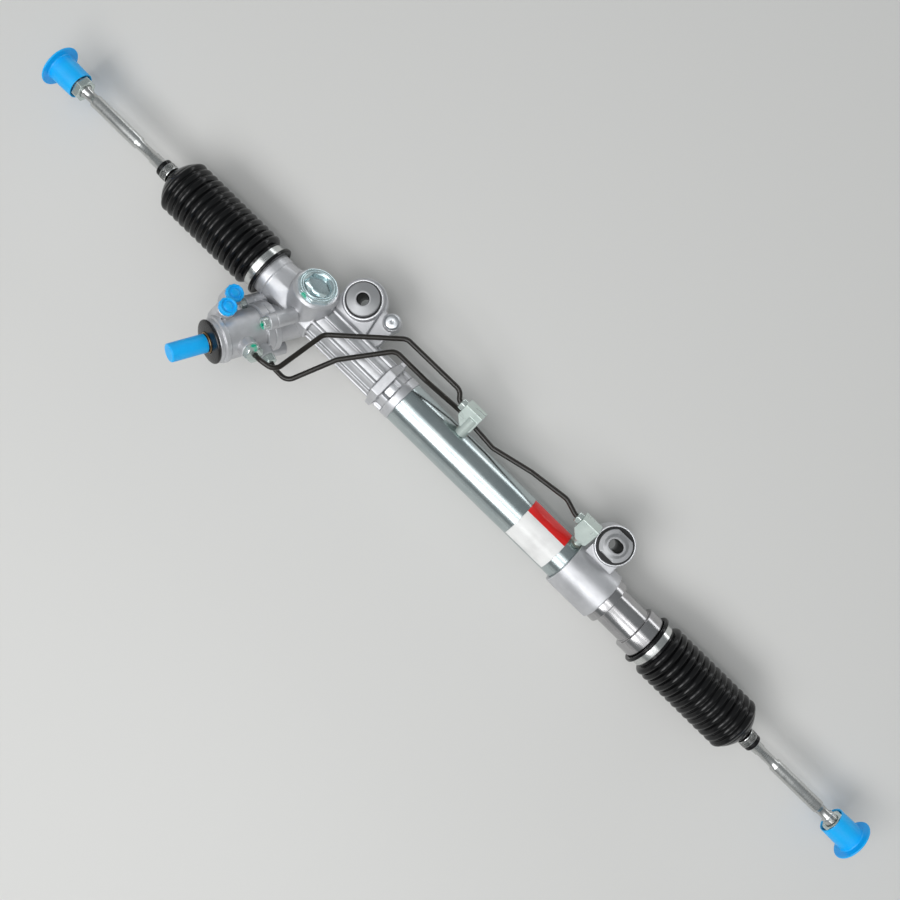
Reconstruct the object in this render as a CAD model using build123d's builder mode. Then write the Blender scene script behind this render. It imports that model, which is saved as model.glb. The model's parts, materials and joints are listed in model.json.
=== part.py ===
"""Hydraulic rack and pinion steering gear, built as separate pieces in millimetres.

The rack runs along X. The two mounting eyes stand upright (+Z) on the +Y side of the rack,
and the origin is the middle of the gear-side mounting bore. The input shaft leans towards -X,
runs to -Y and rises.
"""

from build123d import *
from math import atan2, cos, degrees, pi, radians, sin, sqrt, tan
import os

os.makedirs("parts", exist_ok=True)

# Clearances between pieces
fit_gap = 0.1
running_gap = 0.12
moving_gap = 0.3
thread_gap = 0.1
weld_gap = 0.05

# Rack bar and its travel
rack_offset = 44.0
rack_radius = 12.5
rack_travel = 60.0
end_stop_gap = 2.0

# Places along the rack axis
housing_left_end = -110.0
housing_right_end = 96.5
cylinder_end_face = 453.0
pinion_x = -38.0
gear_port_x = 159.6
far_port_x = 317.7
far_mount_x = 345.0

# Gear mesh: helical pinion on an inclined rack
pinion_teeth = 8
rack_pitch = 6.2
pinion_helix = 28.0
shaft_skew = 20.0
yoke_tilt = 35.0
pressure_angle = 20.0
rack_tip_height = 9.0
rack_addendum = 1.0
pinion_addendum = 2.2
root_gap = 0.4
tooth_backlash = 0.5
pinion_tooth_share = 0.55
pinion_length = 26.0
toothed_end_land = 4.2

# Hydraulic cylinder
tube_radius = 23.3
tube_wall = 2.8
tube_bore_radius = tube_radius - tube_wall
tube_far_end = 372.0
spigot_end = 138.0
seal_width = 8.0
piston_x = 240.0
piston_width = 14.0
piston_ring_width = 4.0
piston_ring_depth = 2.0

# Gear housing casting
boot_seat_radius = 22.75
neck_length = 30.0
neck_step = 1.2
neck_wall_bore_radius = 14.5
ribbed_core_radius = 19.5
rib_height = 2.6
rib_width = 3.0
rib_count = 10
ribbed_start = -20.0
ribbed_end = 66.5
flange_thickness = 10.5
flange_across_flats = 47.0
flange_ear_reach = 31.0
flange_ear_width = 13.0
flange_bevel = 2.8
flange_face_half = 11.0
fin_count = 6
fin_width = 4.4
collar_step = 0.6
collar_radius = tube_radius + collar_step
collar_width = 9.5
facet_across_flats = 45.0
facet_start = -55.8

# Rack guide yoke and its adjuster
yoke_radius = 14.8
yoke_boss_radius = 23.8
yoke_boss_height = 36.0
yoke_boss_shoulder = 3.0
yoke_bottom = 3.0
yoke_top = 24.0
spring_pocket_depth = 8.0
spring_wire_radius = 1.3
spring_radius = 7.5
spring_turns = 3.5
plug_radius = 16.6
plug_bottom = 27.0
plug_top = 41.0
plug_socket_flats = 25.0
plug_socket_depth = 8.0
locknut_radius = 18.9
locknut_height = 4.5

# Pinion tower and rotary valve
tower_radius = 19.5
tower_flange_thickness = 7.0
tower_bottom = -28.0
tower_top = 44.0
lower_bearing_radius = 13.0
lower_bearing_width = 9.0
lower_journal_radius = 6.0
lower_journal_length = 14.0
upper_bearing_radius = 16.0
upper_bearing_width = 10.0
bearing_offset = 7.0
upper_journal_radius = 12.5
pinion_neck_radius = 8.6
bottom_cover_radius = 17.0
bottom_cover_height = 5.0
valve_radius = 21.8
valve_wall = 3.6
valve_bore_radius = valve_radius - valve_wall
valve_flange_radius = 25.0
valve_flange_thickness = 8.0
valve_top = 97.0
ear_radius = 8.0
ear_reach = 28.6
ear_angles = (85.0, 190.0, -45.0)
bolt_radius = 3.4
bolt_head_radius = 6.0
bolt_head_height = 6.0
bolt_boss_length = 22.0
sleeve_bottom = 47.0
sleeve_top = 86.0
sleeve_wall = 4.6
valve_ring_width = 2.0
valve_ring_depth = 1.2
valve_ring_count = 4
torsion_bar_radius = 4.0
input_shaft_radius = 8.4
input_shaft_end = 142.0
shaft_seal_width = 6.0
dust_seal_radius = 22.5
dust_seal_height = 9.0
dust_ring_radius = 9.7
input_cap_wall = 0.8
input_cap_start = 108.0
input_cap_length = 37.0

# Hose ports beside the valve: place along the shaft, distance beside it, height of the face
pressure_port = (67.6, 35.4, 14.0)
return_port = (83.8, 22.2, 24.0)
hose_boss_radius = 9.3
hose_boss_foot = -8.0
hose_arm_radius = 8.0
port_bore_radius = 6.0
port_passage_radius = 3.0
port_plug_radius = 9.2
port_plug_head = 6.0
port_plug_stub = 9.0

# Line ports on the valve: place along the shaft, angle round it, reach, boss radius, nut flats
right_line_port = (75.0, 40.0, 30.0, 9.5, 17.0)
left_line_port = (56.0, 15.0, 32.0, 7.5, 12.0)
line_port_bore_radius = 4.6

# Mounting eyes and their rubber bushes
gear_eye_radius = 20.4
gear_eye_half_height = 18.0
gear_eye_step_radius = 23.6
gear_eye_step_top = 6.0
eye_web_bottom = -13.0
eye_web_height = 24.0
eye_web_spread = 8.0
web_foot = 6.0
bush_outer_radius = 17.8
bush_flange_radius = 16.1
bush_flange_height = 3.0
bush_bore_radius = 6.15
bush_tube_radius = 9.5
gear_bush_half_height = 24.0
far_eye_radius = 20.5
far_eye_bottom = -15.0
far_eye_top = 23.0
far_bush_radius = 18.6
far_bush_bottom = -20.0
far_bush_top = 29.0
slot_length = 15.0
slot_width = 11.5
far_flat_width = 27.8
far_disc_radius = 16.6

# Lug beside the gear-side eye
lug_x = 35.0
lug_y = 4.3
lug_radius = 9.0
lug_half_height = 12.0
lug_web_bottom = -8.0
lug_web_height = 15.0
lug_pin_radius = 5.0
lug_head_radius = 8.2
lug_head_height = 3.4

# End bracket and steel cylinder end
bracket_wall = 4.2
bracket_radius = tube_radius + bracket_wall
bracket_start = 323.0
bracket_end = 375.0
bracket_block_width = 34.0
end_flange_step = 1.7
end_flange_radius = tube_radius + end_flange_step
end_flange_width = 9.7
end_neck_radius = 20.4
end_neck_width = 34.0
end_collar_step = 2.0
end_collar_radius = boot_seat_radius + end_collar_step
end_collar_width = 16.6
end_bore_radius = 14.0
bush_length = 16.0
end_plug_depth = 26.0

# Welded port blocks on the tube
block_elevation = 31.0
block_nut_side = 14.5
block_plain_side = 6.5
block_thickness = 16.0
block_foot_radius = 4.8
port_stand_off = 21.7
block_port_reach = tube_radius + port_stand_off
block_head = 7.0
block_depth = 15.0
block_start = block_port_reach - block_depth
block_end = block_port_reach + block_head
block_nut_corner = 8.0
block_plain_corner = 2.0
block_column_radius = 6.0
block_column_rise = 4.0
block_column_short = 7.0

# Hydraulic transfer lines
line_radius = 2.6
block_nut_flats = 11.0
line_nut_length = 8.0
block_nut_length = 6.0
line_bend_radius = 11.0

# Rubber boots
boot_skin = 1.85
boot_fold_height = 5.5
boot_valley_radius = boot_seat_radius + boot_skin
boot_outer_radius = boot_valley_radius + boot_fold_height
boot_folds = 14
boot_fold_pitch = 7.85
boot_seat_length = 21.6
boot_lip_width = 3.6
boot_cuff_length = 14.7
boot_cuff_wall = 1.65
boot_cuff_radius = boot_seat_radius + boot_cuff_wall
boot_lip_height = 4.5
boot_lip_radius = boot_cuff_radius + boot_lip_height
boot_dome_length = 13.4
boot_end_radius = 8.2
boot_clip_length = 8.6
boot_bead_radius = 9.4
boot_bead_width = 4.5
boot_shoulder_radius = 10.0
clamp_width = 7.5
clamp_thickness = 0.8
clamp_ear_height = 3.0
clip_thickness = 1.5
clip_width = 8.0

# Inner ball joints and tie rods, with places measured from the ball centre outwards
ball_radius = 12.5
seat_wall = 2.0
socket_radius = 17.5
socket_length = 26.0
socket_crimp = 3.0
socket_lip_angle = 56.0
seat_lip_angle = 50.0
stub_radius = 8.0
stub_length = 7.0
washer_thickness = 2.0
washer_radius = 16.0
rod_neck_radius = 6.3
rod_thin_radius = 5.4
rod_flats = 12.0
rod_thread_radius = 6.9
rod_shoulder_end = 54.5
rod_flats_start = 74.5
rod_flats_end = 135.5
rod_collar_width = 2.5
rod_collar_radius = 6.9
rod_thread_start = 147.5
rod_end = 179.0
rod_chamfer = 1.0
nut_flats = 22.0
left_nut_start = 148.5
right_nut_start = 154.0
nut_height = 8.0
cap_mouth_radius = 14.1
cap_wall = 1.1
left_cap_mouth = 156.2
right_cap_mouth = 153.9
cap_length = 28.2
cap_shoulder_radius = 14.8
cap_flange_radius = 22.4
cap_flange_width = 1.8
cap_recess_radius = 9.0
cap_recess_depth = 1.0

# Directions and reference planes
rack_line = Axis((0, -rack_offset, 0), (1, 0, 0))
rack_section = Plane(origin=(0, -rack_offset, 0), x_dir=(1, 0, 0), z_dir=(0, 0, 1))
yoke_direction = Vector(0, sin(radians(yoke_tilt)), cos(radians(yoke_tilt)))
rack_across = Vector(0, -cos(radians(yoke_tilt)), sin(radians(yoke_tilt)))
pinion_direction = Vector(-sin(radians(shaft_skew)), 0, 0) + rack_across * cos(radians(shaft_skew))
pinion_side = Vector(-pinion_direction.Y, pinion_direction.X, 0).normalized()
pinion_up = pinion_direction.cross(pinion_side)

# Sizes of the mesh that follow from the pitch and the helix
rack_tooth_angle = pinion_helix - shaft_skew
normal_pitch = rack_pitch * cos(radians(rack_tooth_angle))
pinion_pitch_radius = normal_pitch * pinion_teeth / (2 * pi * cos(radians(pinion_helix)))
rack_pitch_height = rack_tip_height - rack_addendum
rack_root_height = rack_pitch_height - pinion_addendum - root_gap
pinion_tip_radius = pinion_pitch_radius + pinion_addendum
pinion_root_radius = pinion_pitch_radius - rack_addendum - root_gap
pinion_centre = Vector(pinion_x, -rack_offset, 0) - yoke_direction * (rack_pitch_height + pinion_pitch_radius)
yoke_centre = Vector(pinion_x, -rack_offset, 0)
pinion_line = Axis(tuple(pinion_centre), tuple(pinion_direction))

# Ball centres at rest
left_ball_x = housing_left_end - end_stop_gap - rack_travel - socket_length
right_ball_x = cylinder_end_face + end_stop_gap + rack_travel + socket_length


def across_rack(x):
    """Plane square to the rack at x: its own x is +Y and its own y is +Z."""
    return Plane(origin=(x, -rack_offset, 0), x_dir=(0, 1, 0), z_dir=(1, 0, 0))


def across_pinion(along):
    """Plane square to the input shaft: its own x is the shaft's level side, its own y is up."""
    return Plane(origin=pinion_centre + pinion_direction * along, x_dir=pinion_side, z_dir=pinion_direction)


def across_yoke(height):
    """Plane square to the yoke bore at a height above the rack axis."""
    return Plane(origin=yoke_centre + yoke_direction * height, x_dir=(1, 0, 0), z_dir=yoke_direction)


def section_through(origin, direction, side):
    """Plane holding an axis: its own y runs along the axis, its own x is the radius."""
    return Plane(origin=origin, x_dir=side, z_dir=side.cross(direction))


pinion_section = section_through(pinion_centre, pinion_direction, pinion_side)


def port_direction(angle):
    """Direction that leaves the input shaft at an angle from its level side."""
    return pinion_side * cos(radians(angle)) + pinion_up * sin(radians(angle))


def hose_plane(port, height):
    """Plane square to a hose port, at a height above the level of the shaft axis."""
    along, beside = port[0], port[1]
    origin = pinion_centre + pinion_direction * along - pinion_side * beside + pinion_up * height
    return Plane(origin=origin, x_dir=pinion_direction, z_dir=pinion_up)


def hose_arm_plane(port, beside):
    """Plane square to the arm that joins a hose port to the valve, at a distance beside the shaft."""
    origin = pinion_centre + pinion_direction * port[0] - pinion_side * beside
    return Plane(origin=origin, x_dir=pinion_direction, z_dir=-pinion_side)


def port_plane(port, reach):
    """Plane square to a line port, at a reach from the shaft axis."""
    along, angle = port[0], port[1]
    direction = port_direction(angle)
    origin = pinion_centre + pinion_direction * along + direction * reach
    return Plane(origin=origin, x_dir=pinion_direction, z_dir=direction)


def block_direction():
    """Direction of a welded port block, from the tube axis outwards."""
    return Vector(0, cos(radians(block_elevation)), sin(radians(block_elevation)))


def block_plane(x, reach):
    """Plane square to a port block, at a reach from the tube axis."""
    origin = Vector(x, -rack_offset, 0) + block_direction() * reach
    return Plane(origin=origin, x_dir=(1, 0, 0), z_dir=block_direction())


def block_section(x):
    """Plane holding the axis of a port block: its own x is +X and its own y runs outwards."""
    origin = Vector(x, -rack_offset, 0)
    return Plane(origin=origin, x_dir=(1, 0, 0), z_dir=Vector(1, 0, 0).cross(block_direction()))


# Length of the seat of the boot on the cylinder end
end_seat_length = cylinder_end_face - bracket_end - end_flange_width - end_neck_width - end_collar_width

# Gear housing: one aluminium casting round the rack, the yoke and the pinion
neck_end = housing_left_end + neck_length
collar_start = housing_right_end - collar_width
flange_end = ribbed_end + flange_thickness
spigot_radius = tube_bore_radius - fit_gap

with BuildPart() as gear_housing:
    with BuildSketch(across_rack(ribbed_end)):
        RegularPolygon(radius=flange_across_flats / 2, side_count=6, major_radius=False)
        with Locations((flange_ear_reach / 2, 0)):
            Rectangle(flange_ear_reach, flange_ear_width)
    extrude(amount=flange_thickness)
    for face_x, inward in ((ribbed_end, 1), (flange_end, -1)):
        for across in (-1, 1):
            with BuildSketch(rack_section.offset(-flange_ear_reach)):
                with BuildLine():
                    Polyline(
                        (face_x, across * flange_face_half),
                        (face_x + inward * flange_bevel, across * flange_ear_reach),
                        (face_x + inward * flange_bevel, across * (flange_ear_reach + 2)),
                        (face_x - inward, across * (flange_ear_reach + 2)),
                        (face_x - inward, across * flange_face_half),
                        close=True,
                    )
                make_face()
            extrude(amount=2 * flange_ear_reach, mode=Mode.SUBTRACT)
    with BuildSketch(across_rack(housing_left_end)):
        Circle(boot_seat_radius)
    extrude(amount=neck_length)
    with BuildSketch(across_rack(neck_end)):
        Circle(boot_seat_radius - neck_step)
    with BuildSketch(across_rack(facet_start)):
        RegularPolygon(radius=facet_across_flats / 2, side_count=8, major_radius=False)
    loft()
    with BuildSketch(across_rack(facet_start)):
        RegularPolygon(radius=facet_across_flats / 2, side_count=8, major_radius=False)
    extrude(amount=ribbed_start - facet_start)
    with BuildSketch(across_rack(ribbed_start)):
        Circle(ribbed_core_radius)
        with PolarLocations(ribbed_core_radius, rib_count):
            Rectangle(2 * rib_height, rib_width)
    extrude(amount=flange_end - ribbed_start)
    with BuildSketch(across_rack(flange_end)):
        Circle(ribbed_core_radius - 1)
        with PolarLocations(ribbed_core_radius, fin_count):
            Rectangle(collar_radius - ribbed_core_radius + 3, fin_width)
    extrude(amount=collar_start - flange_end)
    with BuildSketch(across_rack(collar_start)):
        Circle(collar_radius)
    extrude(amount=collar_width)
    with BuildSketch(across_rack(housing_right_end)):
        Circle(spigot_radius)
    extrude(amount=spigot_end - housing_right_end)
    with BuildSketch(across_yoke(0)):
        Circle(yoke_boss_radius)
    extrude(amount=yoke_boss_height - yoke_boss_shoulder)
    with BuildSketch(across_yoke(yoke_boss_height - yoke_boss_shoulder)):
        Circle(yoke_boss_radius)
    extrude(amount=yoke_boss_shoulder, taper=40)
    with BuildSketch(across_pinion(tower_bottom)):
        Circle(tower_radius)
    extrude(amount=tower_top - tower_bottom)
    with BuildSketch(across_pinion(tower_top - tower_flange_thickness)):
        Circle(valve_flange_radius)
    extrude(amount=tower_flange_thickness)
    for angle in ear_angles:
        ear_place = (ear_reach * cos(radians(angle)), ear_reach * sin(radians(angle)))
        with BuildSketch(across_pinion(tower_top - bolt_boss_length)):
            with Locations(ear_place):
                Circle(ear_radius)
        extrude(amount=bolt_boss_length)
    with BuildSketch(Plane.XY.offset(-gear_eye_half_height)):
        Circle(gear_eye_radius)
    extrude(amount=2 * gear_eye_half_height)
    with BuildSketch(Plane.XY.offset(eye_web_bottom)):
        Circle(gear_eye_step_radius)
    extrude(amount=gear_eye_step_top - eye_web_bottom)
    with BuildSketch(Plane.XY.offset(eye_web_bottom)):
        with BuildLine():
            Polyline(
                (-gear_eye_radius, 0),
                (gear_eye_radius, 0),
                (gear_eye_radius + eye_web_spread, web_foot - rack_offset),
                (-gear_eye_radius - eye_web_spread / 2, web_foot - rack_offset),
                close=True,
            )
        make_face()
    extrude(amount=eye_web_height)
    with BuildSketch(Plane.XY.offset(-lug_half_height)):
        with Locations((lug_x, lug_y)):
            Circle(lug_radius)
    extrude(amount=2 * lug_half_height)
    with BuildSketch(Plane.XY.offset(lug_web_bottom)):
        with BuildLine():
            Polyline(
                (0, 0),
                (lug_x, lug_y + lug_radius - 2),
                (lug_x + lug_radius - 1, lug_y),
                (lug_x + lug_radius / 2, web_foot - rack_offset),
                (0, web_foot - rack_offset),
                close=True,
            )
        make_face()
    extrude(amount=lug_web_height)
    # Bores: rack, yoke, adjuster, pinion, bearings, bush, lug and bolts
    with BuildSketch(across_rack(housing_left_end)):
        Circle(neck_wall_bore_radius)
    extrude(amount=spigot_end - housing_left_end, mode=Mode.SUBTRACT)
    with BuildSketch(across_yoke(0)):
        Circle(yoke_radius + running_gap)
    extrude(amount=yoke_boss_height, mode=Mode.SUBTRACT)
    with BuildSketch(across_yoke(plug_bottom - 1)):
        Circle(plug_radius + thread_gap)
    extrude(amount=yoke_boss_height, mode=Mode.SUBTRACT)
    with BuildSketch(across_pinion(-pinion_length / 2 - 2)):
        Circle(pinion_tip_radius + 1.5)
    extrude(amount=tower_top, mode=Mode.SUBTRACT)
    with BuildSketch(across_pinion(tower_bottom)):
        Circle(lower_bearing_radius + fit_gap)
    extrude(amount=-tower_bottom - pinion_length / 2 - 2, mode=Mode.SUBTRACT)
    with BuildSketch(across_pinion(pinion_length / 2 + bearing_offset)):
        Circle(upper_bearing_radius + fit_gap)
    extrude(amount=tower_top, mode=Mode.SUBTRACT)
    with BuildSketch(across_pinion(tower_bottom)):
        Circle(bottom_cover_radius + moving_gap)
    extrude(amount=-2 * bottom_cover_height, mode=Mode.SUBTRACT)
    with BuildSketch(Plane.XY.offset(-gear_eye_half_height)):
        Circle(bush_outer_radius + fit_gap)
    extrude(amount=2 * gear_eye_half_height, mode=Mode.SUBTRACT)
    with BuildSketch(Plane.XY.offset(-lug_half_height)):
        with Locations((lug_x, lug_y)):
            Circle(lug_pin_radius + fit_gap)
    extrude(amount=2 * lug_half_height, mode=Mode.SUBTRACT)
    for angle in ear_angles:
        ear_place = (ear_reach * cos(radians(angle)), ear_reach * sin(radians(angle)))
        with BuildSketch(across_pinion(tower_top)):
            with Locations(ear_place):
                Circle(bolt_radius + fit_gap)
        extrude(amount=-bolt_boss_length + 6, mode=Mode.SUBTRACT)
gear_housing.part.label = "gear_housing"
export_step(gear_housing.part, "parts/gear_housing.step")

# Valve housing: aluminium casting over the rotary valve, bolted to the pinion tower
with BuildPart() as valve_housing:
    with BuildSketch(across_pinion(tower_top)):
        Circle(valve_flange_radius)
    extrude(amount=valve_flange_thickness)
    with BuildSketch(across_pinion(tower_top)):
        Circle(valve_radius)
    extrude(amount=valve_top - tower_top)
    with BuildSketch(across_pinion(valve_top - 6)):
        Circle(valve_radius + 1.5)
    extrude(amount=5)
    for angle in ear_angles:
        ear_place = (ear_reach * cos(radians(angle)), ear_reach * sin(radians(angle)))
        with BuildSketch(across_pinion(tower_top)):
            with Locations(ear_place):
                Circle(ear_radius)
        extrude(amount=valve_flange_thickness)
    for port in (right_line_port, left_line_port):
        with BuildSketch(port_plane(port, valve_bore_radius + 1)):
            Circle(port[3])
        extrude(amount=port[2] - valve_bore_radius - 1)
    for port in (pressure_port, return_port):
        with BuildSketch(hose_arm_plane(port, valve_bore_radius + 1)):
            Circle(hose_arm_radius)
        extrude(amount=port[1] - valve_bore_radius - 1)
        with BuildSketch(hose_plane(port, hose_boss_foot)):
            Circle(hose_boss_radius)
        extrude(amount=port[2] - hose_boss_foot)
    with BuildSketch(across_pinion(tower_top)):
        Circle(valve_bore_radius)
    extrude(amount=valve_top - tower_top, mode=Mode.SUBTRACT)
    for port in (right_line_port, left_line_port):
        with BuildSketch(port_plane(port, port[2])):
            Circle(line_port_bore_radius)
        extrude(amount=valve_radius - port[2], mode=Mode.SUBTRACT)
        with BuildSketch(port_plane(port, port[2])):
            Circle(line_port_bore_radius / 2)
        extrude(amount=valve_bore_radius - port[2], mode=Mode.SUBTRACT)
    for port in (pressure_port, return_port):
        with BuildSketch(hose_plane(port, port[2])):
            Circle(port_bore_radius)
        extrude(amount=-port_plug_stub - 2, mode=Mode.SUBTRACT)
        with BuildSketch(hose_plane(port, port[2])):
            Circle(port_passage_radius)
        extrude(amount=-port[2], mode=Mode.SUBTRACT)
        with BuildSketch(hose_arm_plane(port, valve_bore_radius)):
            Circle(port_passage_radius)
        extrude(amount=port[1] - valve_bore_radius, mode=Mode.SUBTRACT)
    for angle in ear_angles:
        ear_place = (ear_reach * cos(radians(angle)), ear_reach * sin(radians(angle)))
        with BuildSketch(across_pinion(tower_top)):
            with Locations(ear_place):
                Circle(bolt_radius + fit_gap)
        extrude(amount=valve_flange_thickness, mode=Mode.SUBTRACT)
valve_housing.part.label = "valve_housing"
export_step(valve_housing.part, "parts/valve_housing.step")

# Three socket screws through the ears of the valve housing
with BuildPart() as valve_housing_bolts:
    for angle in ear_angles:
        ear_place = (ear_reach * cos(radians(angle)), ear_reach * sin(radians(angle)))
        with BuildSketch(across_pinion(tower_top + valve_flange_thickness)):
            with Locations(ear_place):
                Circle(bolt_head_radius)
        extrude(amount=bolt_head_height)
        with BuildSketch(across_pinion(tower_top - bolt_boss_length + 8)):
            with Locations(ear_place):
                Circle(bolt_radius)
        extrude(amount=bolt_boss_length - 8 + valve_flange_thickness)
        with BuildSketch(across_pinion(tower_top + valve_flange_thickness + bolt_head_height)):
            with Locations(ear_place):
                RegularPolygon(radius=bolt_head_radius / 2, side_count=6)
        extrude(amount=-bolt_head_height / 2, mode=Mode.SUBTRACT)
valve_housing_bolts.part.label = "valve_housing_bolts"
export_step(valve_housing_bolts.part, "parts/valve_housing_bolts.step")

# Rack guide yoke: a plunger with a saddle for the back of the rack and a spring pocket
with BuildPart() as rack_guide_yoke:
    with BuildSketch(across_yoke(yoke_bottom)):
        Circle(yoke_radius)
    extrude(amount=yoke_top - yoke_bottom)
    with BuildSketch(across_rack(pinion_x - 2 * yoke_radius)):
        Circle(rack_radius + running_gap)
    extrude(amount=4 * yoke_radius, mode=Mode.SUBTRACT)
    with BuildSketch(across_yoke(yoke_top)):
        Circle(spring_radius + spring_wire_radius + moving_gap)
    extrude(amount=-spring_pocket_depth, mode=Mode.SUBTRACT)
rack_guide_yoke.part.label = "rack_guide_yoke"
export_step(rack_guide_yoke.part, "parts/rack_guide_yoke.step")

# Yoke spring between the pocket and the adjuster plug
spring_foot = yoke_top - spring_pocket_depth + spring_wire_radius + 0.05
spring_head = plug_bottom - spring_wire_radius - 0.05
with BuildPart() as yoke_spring:
    with BuildLine() as spring_path:
        Helix(
            pitch=(spring_head - spring_foot) / spring_turns,
            height=spring_head - spring_foot,
            radius=spring_radius,
            center=tuple(across_yoke(spring_foot).origin),
            direction=tuple(yoke_direction),
        )
    with BuildSketch(Plane(origin=spring_path.line @ 0, z_dir=spring_path.line % 0)):
        Circle(spring_wire_radius)
    sweep(is_frenet=True)
yoke_spring.part.label = "yoke_spring"
export_step(yoke_spring.part, "parts/yoke_spring.step")

# Adjuster plug, screwed into the yoke bore, with a hexagon socket
with BuildPart() as yoke_plug:
    with BuildSketch(across_yoke(plug_bottom)):
        Circle(plug_radius)
    extrude(amount=plug_top - plug_bottom)
    with BuildSketch(across_yoke(plug_top)):
        RegularPolygon(radius=plug_socket_flats / 2, side_count=6, major_radius=False)
    extrude(amount=-plug_socket_depth, mode=Mode.SUBTRACT)
yoke_plug.part.label = "yoke_plug"
export_step(yoke_plug.part, "parts/yoke_plug.step")

# Locknut of the adjuster, an octagonal ring
with BuildPart() as yoke_locknut:
    with BuildSketch(across_yoke(yoke_boss_height)):
        RegularPolygon(radius=locknut_radius, side_count=8, major_radius=False)
        Circle(plug_radius + thread_gap, mode=Mode.SUBTRACT)
    extrude(amount=locknut_height)
yoke_locknut.part.label = "yoke_locknut"
export_step(yoke_locknut.part, "parts/yoke_locknut.step")

# Pinion: helical teeth between two journals, with a head that drives the valve sleeve
pinion_transverse_angle = degrees(atan2(tan(radians(pressure_angle)), cos(radians(pinion_helix))))
pinion_base_radius = pinion_pitch_radius * cos(radians(pinion_transverse_angle))
tooth_thickness = (pinion_tooth_share * normal_pitch - tooth_backlash / 2) / cos(radians(pinion_helix))


mesh_angle = atan2(yoke_direction.dot(pinion_up), yoke_direction.dot(pinion_side))


def involute_of(radius):
    """Involute function of the flank at a radius."""
    angle = sqrt(max(radius**2 / pinion_base_radius**2 - 1, 0))
    return angle - atan2(angle, 1)


def half_tooth_angle(radius):
    """Half the angle that a pinion tooth takes at a radius."""
    at_pitch = tooth_thickness / (2 * pinion_pitch_radius) + involute_of(pinion_pitch_radius)
    return at_pitch - involute_of(max(radius, pinion_base_radius))


def pinion_outline(turn):
    """Corner points of the toothed section, turned by an angle in radians."""
    flank_radii = (pinion_root_radius, pinion_base_radius, pinion_pitch_radius, pinion_tip_radius)
    points = []
    for tooth in range(pinion_teeth):
        middle = mesh_angle + turn + tooth * 2 * pi / pinion_teeth
        for radius in flank_radii:
            angle = middle - half_tooth_angle(radius)
            points.append((radius * cos(angle), radius * sin(angle)))
        for radius in reversed(flank_radii):
            angle = middle + half_tooth_angle(radius)
            points.append((radius * cos(angle), radius * sin(angle)))
    return points


helix_sections = 14
helix_turn = tan(radians(pinion_helix)) / pinion_pitch_radius
head_start = pinion_length / 2 + bearing_offset
with BuildPart() as pinion_shaft:
    with BuildSketch(across_pinion(pinion_length / 2 - 1)):
        Circle(pinion_neck_radius)
    extrude(amount=bearing_offset + 2)
    with BuildSketch(across_pinion(head_start)):
        Circle(upper_journal_radius)
    extrude(amount=sleeve_bottom - head_start - 0.2)
    with BuildSketch(across_pinion(sleeve_bottom)):
        Circle(torsion_bar_radius + fit_gap)
    extrude(amount=head_start - 4 - sleeve_bottom, mode=Mode.SUBTRACT)
    with BuildSketch(across_pinion(-pinion_length / 2 - lower_journal_length)):
        Circle(lower_journal_radius)
    extrude(amount=lower_journal_length + 1)
    for index in range(helix_sections):
        along = -pinion_length / 2 + pinion_length * index / (helix_sections - 1)
        with BuildSketch(across_pinion(along)):
            with BuildLine():
                Polyline(*pinion_outline(-along * helix_turn), close=True)
            make_face()
    loft()
pinion_shaft.part.label = "pinion_shaft"
export_step(pinion_shaft.part, "parts/pinion_shaft.step")

# Bearings of the pinion, each drawn as its closed ring set
lower_bearing_seat = -pinion_length / 2 - 2.5
with BuildPart() as pinion_lower_bearing:
    with BuildSketch(across_pinion(lower_bearing_seat)):
        Circle(lower_bearing_radius)
        Circle(lower_journal_radius + running_gap, mode=Mode.SUBTRACT)
    extrude(amount=-lower_bearing_width)
pinion_lower_bearing.part.label = "pinion_lower_bearing"
export_step(pinion_lower_bearing.part, "parts/pinion_lower_bearing.step")

upper_bearing_seat = pinion_length / 2 + bearing_offset + 0.5
with BuildPart() as pinion_upper_bearing:
    with BuildSketch(across_pinion(upper_bearing_seat)):
        Circle(upper_bearing_radius)
        Circle(upper_journal_radius + running_gap, mode=Mode.SUBTRACT)
    extrude(amount=upper_bearing_width)
pinion_upper_bearing.part.label = "pinion_upper_bearing"
export_step(pinion_upper_bearing.part, "parts/pinion_upper_bearing.step")

# Shaft seal between the pinion chamber and the valve chamber
with BuildPart() as pinion_shaft_seal:
    with BuildSketch(across_pinion(upper_bearing_seat + upper_bearing_width + 0.5)):
        Circle(upper_bearing_radius)
        Circle(upper_journal_radius + running_gap, mode=Mode.SUBTRACT)
    extrude(amount=shaft_seal_width)
pinion_shaft_seal.part.label = "pinion_shaft_seal"
export_step(pinion_shaft_seal.part, "parts/pinion_shaft_seal.step")

# Steel cap that closes the lower end of the pinion tower
with BuildPart() as pinion_bottom_cover:
    with BuildSketch(across_pinion(tower_bottom)):
        Circle(bottom_cover_radius)
    extrude(amount=-bottom_cover_height)
    with BuildSketch(across_pinion(tower_bottom)):
        Circle(lower_bearing_radius)
    extrude(amount=2.5)
    with BuildSketch(across_pinion(tower_bottom + 2.5)):
        Circle(lower_journal_radius + 1.5)
    extrude(amount=-5, mode=Mode.SUBTRACT)
pinion_bottom_cover.part.label = "pinion_bottom_cover"
export_step(pinion_bottom_cover.part, "parts/pinion_bottom_cover.step")

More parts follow.
